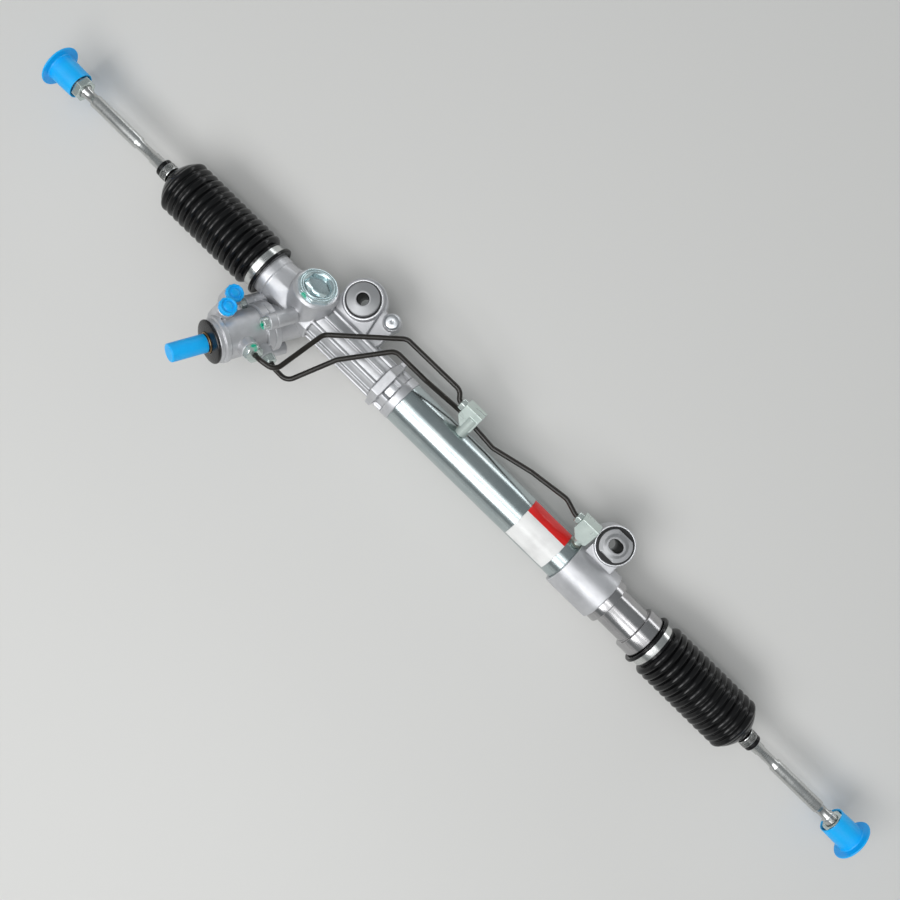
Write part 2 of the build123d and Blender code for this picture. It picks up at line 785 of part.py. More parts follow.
# Valve sleeve with grooves for its rings
ring_pitch = (sleeve_top - sleeve_bottom) / (valve_ring_count + 1)
sleeve_radius = valve_bore_radius - running_gap
with BuildPart() as valve_sleeve:
    with BuildSketch(across_pinion(sleeve_bottom)):
        Circle(sleeve_radius)
        Circle(sleeve_radius - sleeve_wall, mode=Mode.SUBTRACT)
    extrude(amount=sleeve_top - sleeve_bottom)
    for index in range(valve_ring_count):
        along = sleeve_bottom + ring_pitch * (index + 1) - valve_ring_width / 2
        with BuildSketch(across_pinion(along)):
            Circle(sleeve_radius + 1)
            Circle(sleeve_radius - valve_ring_depth, mode=Mode.SUBTRACT)
        extrude(amount=valve_ring_width, mode=Mode.SUBTRACT)
valve_sleeve.part.label = "valve_sleeve"
export_step(valve_sleeve.part, "parts/valve_sleeve.step")

# Plastic rings in the grooves of the sleeve
with BuildPart() as valve_rings:
    for index in range(valve_ring_count):
        along = sleeve_bottom + ring_pitch * (index + 1) - valve_ring_width / 2 + fit_gap
        with BuildSketch(across_pinion(along)):
            Circle(sleeve_radius)
            Circle(sleeve_radius - valve_ring_depth + fit_gap, mode=Mode.SUBTRACT)
        extrude(amount=valve_ring_width - 2 * fit_gap)
valve_rings.part.label = "valve_rings"
export_step(valve_rings.part, "parts/valve_rings.step")

# Input shaft: valve spool inside the sleeve, then the splined stub
spool_fit_radius = sleeve_radius - sleeve_wall - fit_gap
with BuildPart() as input_shaft:
    with BuildSketch(across_pinion(sleeve_bottom + 0.2)):
        Circle(spool_fit_radius)
        with PolarLocations(spool_fit_radius, 6):
            Rectangle(2.4, 2.4, mode=Mode.SUBTRACT)
    extrude(amount=sleeve_top - sleeve_bottom)
    with BuildSketch(across_pinion(sleeve_top)):
        Circle(input_shaft_radius)
    extrude(amount=input_shaft_end - sleeve_top)
    with BuildSketch(across_pinion(sleeve_bottom)):
        Circle(torsion_bar_radius + moving_gap)
    extrude(amount=input_shaft_end - sleeve_bottom - 12, mode=Mode.SUBTRACT)
input_shaft.part.label = "input_shaft"
export_step(input_shaft.part, "parts/input_shaft.step")

# Torsion bar, pinned in the pinion and in the input shaft
with BuildPart() as torsion_bar:
    with BuildSketch(across_pinion(head_start - 3.5)):
        Circle(torsion_bar_radius)
    extrude(amount=input_shaft_end - 12.5 - head_start + 3)
torsion_bar.part.label = "torsion_bar"
export_step(torsion_bar.part, "parts/torsion_bar.step")

# Oil seal and dust seal of the input shaft
with BuildPart() as input_shaft_seal:
    with BuildSketch(across_pinion(valve_top - shaft_seal_width - 2)):
        Circle(valve_bore_radius - fit_gap)
        Circle(input_shaft_radius + running_gap, mode=Mode.SUBTRACT)
    extrude(amount=shaft_seal_width)
input_shaft_seal.part.label = "input_shaft_seal"
export_step(input_shaft_seal.part, "parts/input_shaft_seal.step")

with BuildPart() as dust_seal:
    with BuildSketch(pinion_section):
        with BuildLine():
            Polyline(
                (dust_ring_radius, valve_top),
                (dust_seal_radius, valve_top),
                (dust_seal_radius, valve_top + 2.5),
            )
            RadiusArc(
                (dust_seal_radius, valve_top + 2.5),
                (dust_ring_radius + 1.5, valve_top + dust_seal_height),
                -32,
            )
            Polyline(
                (dust_ring_radius + 1.5, valve_top + dust_seal_height),
                (dust_ring_radius, valve_top + dust_seal_height),
                (dust_ring_radius, valve_top),
            )
        make_face()
    revolve(axis=pinion_line)
dust_seal.part.label = "dust_seal"
export_step(dust_seal.part, "parts/dust_seal.step")

# Blue cap over the splines of the input shaft
input_cap_bore = input_shaft_radius + fit_gap
with BuildPart() as input_shaft_cap:
    with BuildSketch(across_pinion(input_cap_start)):
        Circle(input_cap_bore + input_cap_wall)
    extrude(amount=input_cap_length)
    with BuildSketch(across_pinion(input_cap_start)):
        Circle(input_cap_bore)
    extrude(amount=input_shaft_end - input_cap_start + 0.5, mode=Mode.SUBTRACT)
input_shaft_cap.part.label = "input_shaft_cap"
export_step(input_shaft_cap.part, "parts/input_shaft_cap.step")

# Blue plugs in the pressure and return ports
for name, port in (("pressure_port_plug", pressure_port), ("return_port_plug", return_port)):
    with BuildPart() as port_plug:
        with BuildSketch(hose_plane(port, port[2] - port_plug_stub)):
            Circle(port_bore_radius - fit_gap)
        extrude(amount=port_plug_stub)
        with BuildSketch(hose_plane(port, port[2])):
            Circle(port_plug_radius)
        extrude(amount=port_plug_head)
    port_plug.part.label = name
    export_step(port_plug.part, "parts/" + name + ".step")

# Rack bar with the teeth that face the pinion
rack_left_end = left_ball_x + socket_length
rack_right_end = right_ball_x - socket_length
tooth_line = Vector(sin(radians(rack_tooth_angle)), 0, 0) + rack_across * cos(radians(rack_tooth_angle))
tooth_normal = Vector(cos(radians(rack_tooth_angle)), 0, 0) - rack_across * sin(radians(rack_tooth_angle))
mesh_reach = pinion_tip_radius + 1.5 * rack_pitch
first_space = -int((rack_travel + mesh_reach) / rack_pitch)
last_space = int((rack_travel + mesh_reach) / rack_pitch)
space_half_width = (pinion_tooth_share * normal_pitch + tooth_backlash / 2) / 2
flank = tan(radians(pressure_angle))
space_depth = rack_pitch_height - rack_root_height
space_head = rack_radius + 2 - rack_pitch_height
flat_start = pinion_x + first_space * rack_pitch - toothed_end_land
flat_end = pinion_x + last_space * rack_pitch + toothed_end_land
with BuildPart() as rack_bar:
    with BuildSketch(across_rack(rack_left_end)):
        Circle(rack_radius)
    extrude(amount=rack_right_end - rack_left_end)
    with BuildSketch(across_yoke(-rack_tip_height)):
        with Locations(((flat_start + flat_end) / 2 - pinion_x, 0)):
            Rectangle(flat_end - flat_start, 2 * rack_radius + 2)
    extrude(amount=-rack_radius, mode=Mode.SUBTRACT)
    for index in range(first_space, last_space + 1):
        space_origin = Vector(pinion_x + index * rack_pitch, -rack_offset, 0)
        with BuildSketch(Plane(origin=space_origin, x_dir=tooth_normal, z_dir=tooth_line)):
            with BuildLine():
                Polyline(
                    (-space_half_width + space_depth * flank, -rack_root_height),
                    (space_half_width - space_depth * flank, -rack_root_height),
                    (space_half_width + space_head * flank, -rack_radius - 2),
                    (-space_half_width - space_head * flank, -rack_radius - 2),
                    close=True,
                )
            make_face()
        extrude(amount=rack_radius + 4, both=True, mode=Mode.SUBTRACT)
    with BuildSketch(across_rack(rack_left_end)):
        Circle(stub_radius)
    extrude(amount=-stub_length - washer_thickness)
    with BuildSketch(across_rack(rack_right_end)):
        Circle(stub_radius)
    extrude(amount=stub_length + washer_thickness)
rack_bar.part.label = "rack_bar"
export_step(rack_bar.part, "parts/rack_bar.step")

# Piston on the rack with its ring
piston_radius = tube_bore_radius - moving_gap
with BuildPart() as piston:
    with BuildSketch(across_rack(piston_x - piston_width / 2)):
        Circle(piston_radius)
        Circle(rack_radius + fit_gap, mode=Mode.SUBTRACT)
    extrude(amount=piston_width)
    with BuildSketch(across_rack(piston_x - piston_ring_width / 2)):
        Circle(piston_radius + 1)
        Circle(piston_radius - piston_ring_depth, mode=Mode.SUBTRACT)
    extrude(amount=piston_ring_width, mode=Mode.SUBTRACT)
piston.part.label = "piston"
export_step(piston.part, "parts/piston.step")

with BuildPart() as piston_ring:
    with BuildSketch(across_rack(piston_x - piston_ring_width / 2 + fit_gap)):
        Circle(tube_bore_radius - running_gap)
        Circle(piston_radius - piston_ring_depth + fit_gap, mode=Mode.SUBTRACT)
    extrude(amount=piston_ring_width - 2 * fit_gap)
piston_ring.part.label = "piston_ring"
export_step(piston_ring.part, "parts/piston_ring.step")

# Cylinder tube between the gear housing and the end bracket
with BuildPart() as cylinder_tube:
    with BuildSketch(across_rack(housing_right_end)):
        Circle(tube_radius)
        Circle(tube_bore_radius, mode=Mode.SUBTRACT)
    extrude(amount=tube_far_end - housing_right_end)
cylinder_tube.part.label = "cylinder_tube"
export_step(cylinder_tube.part, "parts/cylinder_tube.step")

# Seals and bush that carry the rack at both ends of the cylinder
with BuildPart() as inner_rack_seal:
    with BuildSketch(across_rack(spigot_end)):
        Circle(tube_bore_radius - fit_gap)
        Circle(rack_radius + running_gap, mode=Mode.SUBTRACT)
    extrude(amount=seal_width)
inner_rack_seal.part.label = "inner_rack_seal"
export_step(inner_rack_seal.part, "parts/inner_rack_seal.step")

end_plug_start = tube_far_end - end_plug_depth
with BuildPart() as cylinder_end:
    with BuildSketch(across_rack(end_plug_start)):
        Circle(tube_bore_radius - fit_gap)
    extrude(amount=bracket_end - end_plug_start)
    with BuildSketch(across_rack(bracket_end)):
        Circle(end_flange_radius)
    extrude(amount=end_flange_width)
    with BuildSketch(across_rack(bracket_end + end_flange_width)):
        Circle(end_neck_radius)
    extrude(amount=end_neck_width)
    with BuildSketch(across_rack(bracket_end + end_flange_width + end_neck_width)):
        Circle(end_collar_radius)
    extrude(amount=end_collar_width)
    with BuildSketch(across_rack(cylinder_end_face)):
        Circle(boot_seat_radius)
    extrude(amount=-end_seat_length)
    with BuildSketch(across_rack(end_plug_start)):
        Circle(end_bore_radius)
    extrude(amount=cylinder_end_face - end_plug_start, mode=Mode.SUBTRACT)
    with BuildSketch(across_rack(cylinder_end_face)):
        Circle(end_bore_radius + 2.5)
    extrude(amount=-bush_length, mode=Mode.SUBTRACT)
cylinder_end.part.label = "cylinder_end"
export_step(cylinder_end.part, "parts/cylinder_end.step")

with BuildPart() as rack_bush:
    with BuildSketch(across_rack(cylinder_end_face - 1)):
        Circle(end_bore_radius + 2.5 - fit_gap)
        Circle(rack_radius + running_gap, mode=Mode.SUBTRACT)
    extrude(amount=-bush_length + 1)
rack_bush.part.label = "rack_bush"
export_step(rack_bush.part, "parts/rack_bush.step")

with BuildPart() as outer_rack_seal:
    with BuildSketch(across_rack(end_plug_start)):
        Circle(tube_bore_radius - fit_gap)
        Circle(rack_radius + running_gap, mode=Mode.SUBTRACT)
    extrude(amount=-seal_width)
outer_rack_seal.part.label = "outer_rack_seal"
export_step(outer_rack_seal.part, "parts/outer_rack_seal.step")

# End bracket: aluminium sleeve clamped on the tube, with the far mounting eye
with BuildPart() as end_bracket:
    with BuildSketch(across_rack(bracket_start)):
        Circle(bracket_radius)
    extrude(amount=bracket_end - bracket_start)
    with BuildSketch(Plane.XY.offset(far_eye_bottom)):
        with Locations((far_mount_x, 0)):
            Circle(far_eye_radius)
    extrude(amount=far_eye_top - far_eye_bottom)
    with BuildSketch(Plane.XY.offset(far_eye_bottom + 2)):
        with Locations((far_mount_x, -rack_offset / 2)):
            Rectangle(bracket_block_width, rack_offset)
    extrude(amount=far_eye_top - far_eye_bottom - 6)
    with BuildSketch(across_rack(bracket_start)):
        Circle(tube_radius + fit_gap)
    extrude(amount=tube_far_end - bracket_start, mode=Mode.SUBTRACT)
    with BuildSketch(across_rack(tube_far_end)):
        Circle(tube_bore_radius)
    extrude(amount=bracket_end - tube_far_end, mode=Mode.SUBTRACT)
    with BuildSketch(Plane.XY.offset(far_eye_bottom)):
        with Locations((far_mount_x, 0)):
            Circle(far_bush_radius + fit_gap)
    extrude(amount=far_eye_top - far_eye_bottom, mode=Mode.SUBTRACT)
end_bracket.part.label = "end_bracket"
export_step(end_bracket.part, "parts/end_bracket.step")

# Gear-side mounting bush: rubber ring and flanged steel sleeve
with BuildPart() as gear_mount_rubber:
    with BuildSketch(Plane.XY.offset(-gear_bush_half_height + 2)):
        Circle(bush_outer_radius)
        Circle(bush_tube_radius + fit_gap, mode=Mode.SUBTRACT)
    extrude(amount=2 * gear_bush_half_height - 4 - bush_flange_height)
gear_mount_rubber.part.label = "gear_mount_rubber"
export_step(gear_mount_rubber.part, "parts/gear_mount_rubber.step")

with BuildPart() as gear_mount_sleeve:
    with BuildSketch(Plane.XY.offset(-gear_bush_half_height)):
        Circle(bush_tube_radius)
    extrude(amount=2 * gear_bush_half_height)
    with BuildSketch(Plane.XY.offset(gear_bush_half_height - 2)):
        Circle(bush_flange_radius)
    extrude(amount=-bush_flange_height)
    with BuildSketch(Plane.XY.offset(-gear_bush_half_height)):
        Circle(bush_bore_radius)
    extrude(amount=2 * gear_bush_half_height, mode=Mode.SUBTRACT)
gear_mount_sleeve.part.label = "gear_mount_sleeve"
export_step(gear_mount_sleeve.part, "parts/gear_mount_sleeve.step")

# Far mounting bush, flattened on two sides, with a slotted sleeve
far_tube_length = slot_length + 6
far_tube_width = slot_width + 6
with BuildPart() as far_mount_rubber:
    with BuildSketch(Plane.XY.offset(far_bush_bottom + 2)):
        with Locations((far_mount_x, 0)):
            Circle(far_bush_radius)
            SlotOverall(far_tube_length + 2 * fit_gap, far_tube_width + 2 * fit_gap, mode=Mode.SUBTRACT)
    extrude(amount=far_bush_top - far_bush_bottom - 4 - bush_flange_height)
far_mount_rubber.part.label = "far_mount_rubber"
export_step(far_mount_rubber.part, "parts/far_mount_rubber.step")

with BuildPart() as far_mount_sleeve:
    with BuildSketch(Plane.XY.offset(far_bush_bottom)):
        with Locations((far_mount_x, 0)):
            SlotOverall(far_tube_length, far_tube_width)
    extrude(amount=far_bush_top - far_bush_bottom)
    with BuildSketch(Plane.XY.offset(far_bush_top - 2)):
        with Locations((far_mount_x, 0)):
            Circle(far_disc_radius)
            Rectangle(3 * far_disc_radius, far_flat_width, mode=Mode.INTERSECT)
    extrude(amount=-bush_flange_height)
    with BuildSketch(Plane.XY.offset(far_bush_bottom)):
        with Locations((far_mount_x, 0)):
            SlotOverall(slot_length, slot_width)
    extrude(amount=far_bush_top - far_bush_bottom, mode=Mode.SUBTRACT)
far_mount_sleeve.part.label = "far_mount_sleeve"
export_step(far_mount_sleeve.part, "parts/far_mount_sleeve.step")

# Round-headed pin pressed into the lug
with BuildPart() as lug_pin:
    with BuildSketch(Plane.XY.offset(lug_half_height)):
        with Locations((lug_x, lug_y)):
            Circle(lug_head_radius)
    extrude(amount=lug_head_height)
    with BuildSketch(Plane.XY.offset(-lug_half_height)):
        with Locations((lug_x, lug_y)):
            Circle(lug_pin_radius)
    extrude(amount=2 * lug_half_height)
    fillet(lug_pin.edges().group_by(Axis.Z)[-1], lug_head_height / 2)
lug_pin.part.label = "lug_pin"
export_step(lug_pin.part, "parts/lug_pin.step")

# Steel port blocks welded on the tube
for name, port_x in (("gear_side_port_block", gear_port_x), ("far_side_port_block", far_port_x)):
    with BuildPart() as port_block:
        with BuildSketch(block_section(port_x)):
            with BuildLine():
                Polyline(
                    (-block_nut_side, block_end),
                    (block_plain_side, block_end),
                    (block_plain_side, block_start + block_plain_corner),
                    (block_plain_side - block_plain_corner, block_start),
                    (block_nut_corner - block_nut_side, block_start),
                    (-block_nut_side, block_start + block_nut_corner),
                    close=True,
                )
            make_face()
        extrude(amount=block_thickness / 2, both=True)
        with BuildSketch(block_plane(port_x, tube_radius - 1)):
            Circle(block_foot_radius)
        extrude(amount=block_start - tube_radius + 2)
        if port_x == gear_port_x:
            with BuildSketch(block_plane(port_x, tube_radius - 1)):
                with Locations((0, -block_column_rise)):
                    Circle(block_column_radius)
            extrude(amount=block_end - block_column_short - tube_radius + 1)
        with BuildSketch(across_rack(port_x - block_nut_side)):
            Circle(tube_radius + weld_gap)
        extrude(amount=2 * block_nut_side, mode=Mode.SUBTRACT)
    port_block.part.label = name
    export_step(port_block.part, "parts/" + name + ".step")

# Steel transfer lines from the valve to the cylinder ports, bent from tube


def bend_radii(points):
    """Bend radius for each inner point: the tool's radius, or less where the legs are short."""
    radii = []
    for before, corner, after in zip(points, points[1:], points[2:]):
        leg_in = Vector(*corner) - Vector(*before)
        leg_out = Vector(*after) - Vector(*corner)
        turn = radians(leg_in.get_angle(leg_out))
        room = 0.45 * min(leg_in.length, leg_out.length) / tan(turn / 2)
        radii.append(min(line_bend_radius, room))
    return radii


def block_inlet(port_x, distance):
    """Point on the inlet axis of a port block, at a distance before its face."""
    inlet = block_plane(port_x - block_nut_side - distance, block_port_reach).origin
    return tuple(inlet)


right_line_route = [
    tuple(port_plane(right_line_port, right_line_port[2] + 1).origin),
    tuple(port_plane(right_line_port, right_line_port[2] + 16).origin),
    (-8.0, -108.5, 50.0),
    (-1.4, -51.8, 33.0),
    (59.0, 2.0, 29.0),
    (130.5, 2.6, 26.4),
    block_inlet(gear_port_x, 8),
    block_inlet(gear_port_x, 1),
]
left_line_route = [
    tuple(port_plane(left_line_port, left_line_port[2] + 1).origin),
    tuple(port_plane(left_line_port, left_line_port[2] + 14).origin),
    (3.5, -109.2, 27.5),
    (24.5, -60.2, 31.0),
    (59.6, -14.3, 31.0),
    (99.5, -14.0, 22.0),
    (143.0, -11.0, 4.5),
    (193.0, -15.0, 7.0),
    (237.0, -5.2, 13.0),
    (279.0, -0.4, 25.0),
    block_inlet(far_port_x, 8),
    block_inlet(far_port_x, 1),
]
for name, route in (("right_turn_line", right_line_route), ("left_turn_line", left_line_route)):
    with BuildPart() as transfer_line:
        with BuildLine() as line_path:
            FilletPolyline(*route, radius=bend_radii(route))
        with BuildSketch(Plane(origin=line_path.line @ 0, z_dir=line_path.line % 0)):
            Circle(line_radius)
        sweep()
    transfer_line.part.label = name
    export_step(transfer_line.part, "parts/" + name + ".step")

# Hexagon nuts that hold the four line ends
with BuildPart() as line_nuts:
    for port in (right_line_port, left_line_port):
        with BuildSketch(port_plane(port, port[2])):
            RegularPolygon(radius=port[4] / 2, side_count=6, major_radius=False)
            Circle(line_radius + fit_gap, mode=Mode.SUBTRACT)
        extrude(amount=line_nut_length)
    for port_x in (gear_port_x, far_port_x):
        nut_face = Plane(origin=block_inlet(port_x, 0), x_dir=block_direction(), z_dir=(-1, 0, 0))
        with BuildSketch(nut_face):
            RegularPolygon(radius=block_nut_flats / 2, side_count=6, major_radius=False)
            Circle(line_radius + fit_gap, mode=Mode.SUBTRACT)
        extrude(amount=block_nut_length)
line_nuts.part.label = "line_nuts"
export_step(line_nuts.part, "parts/line_nuts.step")

# The two ends of the gear are alike: each side has its place and its direction
left_boot_x = housing_left_end + boot_seat_length
right_boot_x = cylinder_end_face - end_seat_length + fit_gap
left_end = ("left", -1, left_ball_x, left_boot_x, left_nut_start, left_cap_mouth)
right_end = ("right", 1, right_ball_x, right_boot_x, right_nut_start, right_cap_mouth)
boot_folds_end = boot_cuff_length + boot_folds * boot_fold_pitch
boot_end_start = boot_folds_end + boot_dome_length
boot_bore_end = boot_end_start + boot_clip_length + boot_bead_width
clamp_start = boot_lip_width + 0.4

for side, sign, ball_x, boot_x, nut_start, cap_mouth in (left_end, right_end):
    # Rubber boot: cuff with a lip, folds, then a dome and a beaded small end on the tie rod
    boot_profile = [
        (0, boot_seat_radius + fit_gap),
        (0, boot_lip_radius),
        (boot_lip_width, boot_lip_radius),
        (boot_lip_width, boot_cuff_radius),
        (boot_cuff_length, boot_cuff_radius),
    ]
    for fold in range(boot_folds):
        crest = boot_cuff_length + (fold + 0.5) * boot_fold_pitch
        boot_profile.append((crest, boot_outer_radius))
        boot_profile.append((crest + boot_fold_pitch / 2, boot_valley_radius))
    boot_profile += [
        (boot_end_start, boot_shoulder_radius),
        (boot_end_start, boot_end_radius),
        (boot_bore_end - boot_bead_width, boot_end_radius),
        (boot_bore_end - boot_bead_width, boot_bead_radius),
        (boot_bore_end, boot_bead_radius),
        (boot_bore_end, rod_neck_radius + fit_gap),
        (boot_end_start - 1, rod_neck_radius + fit_gap),
        (boot_folds_end - 1, boot_seat_radius + fit_gap),
    ]
    with BuildPart() as boot:
        with BuildSketch(rack_section):
            with BuildLine():
                Polyline(*[(boot_x + sign * along, radius) for along, radius in boot_profile], close=True)
            make_face()
        revolve(axis=rack_line)
    boot.part.label = side + "_boot"
    export_step(boot.part, "parts/" + side + "_boot.step")

    # Steel band round the cuff of the boot, with its crimped ear underneath
    band_x = boot_x + sign * clamp_start
    with BuildPart() as boot_clamp:
        with BuildSketch(across_rack(band_x)):
            Circle(boot_cuff_radius + fit_gap + clamp_thickness)
            with Locations((0, -boot_cuff_radius - clamp_ear_height / 2)):
                Rectangle(5, clamp_ear_height)
            Circle(boot_cuff_radius + fit_gap, mode=Mode.SUBTRACT)
        extrude(amount=sign * clamp_width)
    boot_clamp.part.label = side + "_boot_clamp"
    export_step(boot_clamp.part, "parts/" + side + "_boot_clamp.step")

    # Spring clip round the small end, open on one side
    clip_x = boot_x + sign * (boot_end_start + 0.3)
    with BuildPart() as boot_clip:
        with BuildSketch(across_rack(clip_x)):
            Circle(boot_end_radius + fit_gap + clip_thickness)
            Circle(boot_end_radius + fit_gap, mode=Mode.SUBTRACT)
            with Locations((0, -boot_end_radius - clip_thickness / 2)):
                Rectangle(2, 2 * clip_thickness, mode=Mode.SUBTRACT)
        extrude(amount=sign * clip_width)
    boot_clip.part.label = side + "_boot_clip"
    export_step(boot_clip.part, "parts/" + side + "_boot_clip.step")

    # Lock washer between the end of the rack and the ball socket
    with BuildPart() as lock_washer:
        with BuildSketch(across_rack(ball_x - sign * socket_length)):
            Circle(washer_radius)
            Circle(stub_radius + fit_gap, mode=Mode.SUBTRACT)
        extrude(amount=sign * washer_thickness)
    lock_washer.part.label = side + "_lock_washer"
    export_step(lock_washer.part, "parts/" + side + "_lock_washer.step")

    # Ball socket screwed on the rack, its mouth crimped over the seat
    cavity_radius = ball_radius + seat_wall + running_gap
    lip_turn = radians(socket_lip_angle)
    lip_point = (ball_x + sign * cavity_radius * cos(lip_turn), cavity_radius * sin(lip_turn))
    cavity_side = (ball_x, cavity_radius)
    with BuildPart() as ball_socket:
        with BuildSketch(rack_section):
            with BuildLine():
                ThreePointArc(
                    (ball_x - sign * cavity_radius, 0),
                    (ball_x - sign * cavity_radius * cos(pi / 4), cavity_radius * sin(pi / 4)),
                    cavity_side,
                )
                half_lip = (pi / 2 + lip_turn) / 2
                ThreePointArc(
                    cavity_side,
                    (ball_x + sign * cavity_radius * cos(half_lip), cavity_radius * sin(half_lip)),
                    lip_point,
                )
                Polyline(
                    lip_point,
                    (lip_point[0] + sign * 1, lip_point[1] + 2),
                    (ball_x + sign * (cavity_radius * cos(lip_turn) - socket_crimp), socket_radius),
                    (ball_x - sign * (socket_length - washer_thickness), socket_radius),
                    (ball_x - sign * (socket_length - washer_thickness), 0),
                    (ball_x - sign * cavity_radius, 0),
                )
            make_face()
        revolve(axis=rack_line)
        with BuildSketch(across_rack(ball_x - sign * (socket_length - washer_thickness))):
            Circle(stub_radius + fit_gap)
        extrude(amount=sign * (stub_length + fit_gap), mode=Mode.SUBTRACT)
    ball_socket.part.label = side + "_ball_socket"
    export_step(ball_socket.part, "parts/" + side + "_ball_socket.step")

    # Plastic seat between the socket and the ball
    seat_turn = radians(seat_lip_angle)
    seat_inner = ball_radius + fit_gap
    seat_outer = ball_radius + seat_wall
    with BuildPart() as ball_seat:
        with BuildSketch(rack_section):
            with BuildLine():
                half_turn = (pi + seat_turn) / 2
                for radius in (seat_inner, seat_outer):
                    ThreePointArc(
                        (ball_x - sign * radius, 0),
                        (ball_x + sign * radius * cos(half_turn), radius * sin(half_turn)),
                        (ball_x + sign * radius * cos(seat_turn), radius * sin(seat_turn)),
                    )
                Line((ball_x - sign * seat_inner, 0), (ball_x - sign * seat_outer, 0))
                Line(
                    (ball_x + sign * seat_inner * cos(seat_turn), seat_inner * sin(seat_turn)),
                    (ball_x + sign * seat_outer * cos(seat_turn), seat_outer * sin(seat_turn)),
                )
            make_face()
        revolve(axis=rack_line)
    ball_seat.part.label = side + "_ball_seat"
    export_step(ball_seat.part, "parts/" + side + "_ball_seat.step")

    # Tie rod: ball, neck, hexagon for the spanner and threaded end
    neck_foot = sqrt(ball_radius**2 - rod_neck_radius**2)
    ball_side = radians(45)
    with BuildPart() as tie_rod:
        with BuildSketch(rack_section):
            with BuildLine():
                ThreePointArc(
                    (ball_x - sign * ball_radius, 0),
                    (ball_x - sign * ball_radius * cos(ball_side), ball_radius * sin(ball_side)),
                    (ball_x + sign * neck_foot, rod_neck_radius),
                )
                Polyline(
                    (ball_x + sign * neck_foot, rod_neck_radius),
                    (ball_x + sign * rod_shoulder_end, rod_neck_radius),
                    (ball_x + sign * rod_shoulder_end, rod_thin_radius),
                    (ball_x + sign * rod_thread_start, rod_thin_radius),
                    (ball_x + sign * rod_thread_start, rod_thread_radius),
                    (ball_x + sign * (rod_end - rod_chamfer), rod_thread_radius),
                    (ball_x + sign * rod_end, rod_thread_radius - rod_chamfer),
                    (ball_x + sign * rod_end, 0),
                    (ball_x - sign * ball_radius, 0),
                )
            make_face()
        revolve(axis=rack_line)
        with BuildSketch(across_rack(ball_x + sign * rod_flats_start)):
            RegularPolygon(radius=rod_flats / 2, side_count=6, major_radius=False)
        extrude(amount=sign * (rod_flats_end - rod_flats_start))
        for collar_x in (rod_flats_start, rod_flats_end - rod_collar_width):
            with BuildSketch(across_rack(ball_x + sign * collar_x)):
                Circle(rod_collar_radius)
            extrude(amount=sign * rod_collar_width)
    tie_rod.part.label = side + "_tie_rod"
    export_step(tie_rod.part, "parts/" + side + "_tie_rod.step")

    # Jam nut on the thread
    with BuildPart() as jam_nut:
        with BuildSketch(across_rack(ball_x + sign * nut_start)):
            RegularPolygon(radius=nut_flats / 2, side_count=6, major_radius=False)
            Circle(rod_thread_radius + fit_gap, mode=Mode.SUBTRACT)
        extrude(amount=sign * nut_height)
    jam_nut.part.label = side + "_jam_nut"
    export_step(jam_nut.part, "parts/" + side + "_jam_nut.step")

    # Blue plastic cap over the thread and the nut, with a wide flange
    cap_shoulder = cap_mouth + cap_length
    flange_face = cap_shoulder + cap_flange_width
    cap_profile = [
        (cap_mouth, cap_mouth_radius - cap_wall),
        (cap_mouth, cap_mouth_radius),
        (cap_shoulder, cap_shoulder_radius),
        (cap_shoulder, cap_flange_radius),
        (flange_face, cap_flange_radius),
        (flange_face, cap_recess_radius),
        (flange_face - cap_recess_depth, cap_recess_radius),
        (flange_face - cap_recess_depth, 0),
        (cap_shoulder - 1, 0),
        (cap_shoulder - 1, cap_shoulder_radius - cap_wall),
    ]
    with BuildPart() as rod_cap:
        with BuildSketch(rack_section):
            with BuildLine():
                Polyline(*[(ball_x + sign * along, radius) for along, radius in cap_profile], close=True)
            make_face()
        revolve(axis=rack_line)
    rod_cap.part.label = side + "_rod_cap"
    export_step(rod_cap.part, "parts/" + side + "_rod_cap.step")
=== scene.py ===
"""Steering rack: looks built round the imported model, in metres, in the same frame."""

import json
import bmesh
import bpy
import numpy as np
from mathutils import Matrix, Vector


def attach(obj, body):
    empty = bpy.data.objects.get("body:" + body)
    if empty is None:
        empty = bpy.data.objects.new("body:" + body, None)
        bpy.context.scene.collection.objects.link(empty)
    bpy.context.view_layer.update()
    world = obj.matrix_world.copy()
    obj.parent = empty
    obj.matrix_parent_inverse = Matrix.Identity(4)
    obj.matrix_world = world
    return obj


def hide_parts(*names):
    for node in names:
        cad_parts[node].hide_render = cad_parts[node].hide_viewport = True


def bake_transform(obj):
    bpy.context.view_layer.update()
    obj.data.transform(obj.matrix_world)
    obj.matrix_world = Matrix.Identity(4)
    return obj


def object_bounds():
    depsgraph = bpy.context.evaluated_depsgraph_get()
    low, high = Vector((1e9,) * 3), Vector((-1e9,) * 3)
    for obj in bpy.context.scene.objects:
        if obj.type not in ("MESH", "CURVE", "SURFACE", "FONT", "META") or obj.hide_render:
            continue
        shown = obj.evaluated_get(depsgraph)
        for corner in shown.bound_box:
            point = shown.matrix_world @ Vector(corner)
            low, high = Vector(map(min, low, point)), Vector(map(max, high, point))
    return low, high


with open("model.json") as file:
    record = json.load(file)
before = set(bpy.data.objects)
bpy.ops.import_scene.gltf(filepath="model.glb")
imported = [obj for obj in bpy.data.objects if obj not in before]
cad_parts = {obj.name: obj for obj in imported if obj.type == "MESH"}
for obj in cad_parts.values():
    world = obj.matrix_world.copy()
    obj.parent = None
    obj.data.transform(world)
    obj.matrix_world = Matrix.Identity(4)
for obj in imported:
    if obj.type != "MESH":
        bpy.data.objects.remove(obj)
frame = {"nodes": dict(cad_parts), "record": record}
solid_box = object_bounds()
millimetre = 0.001


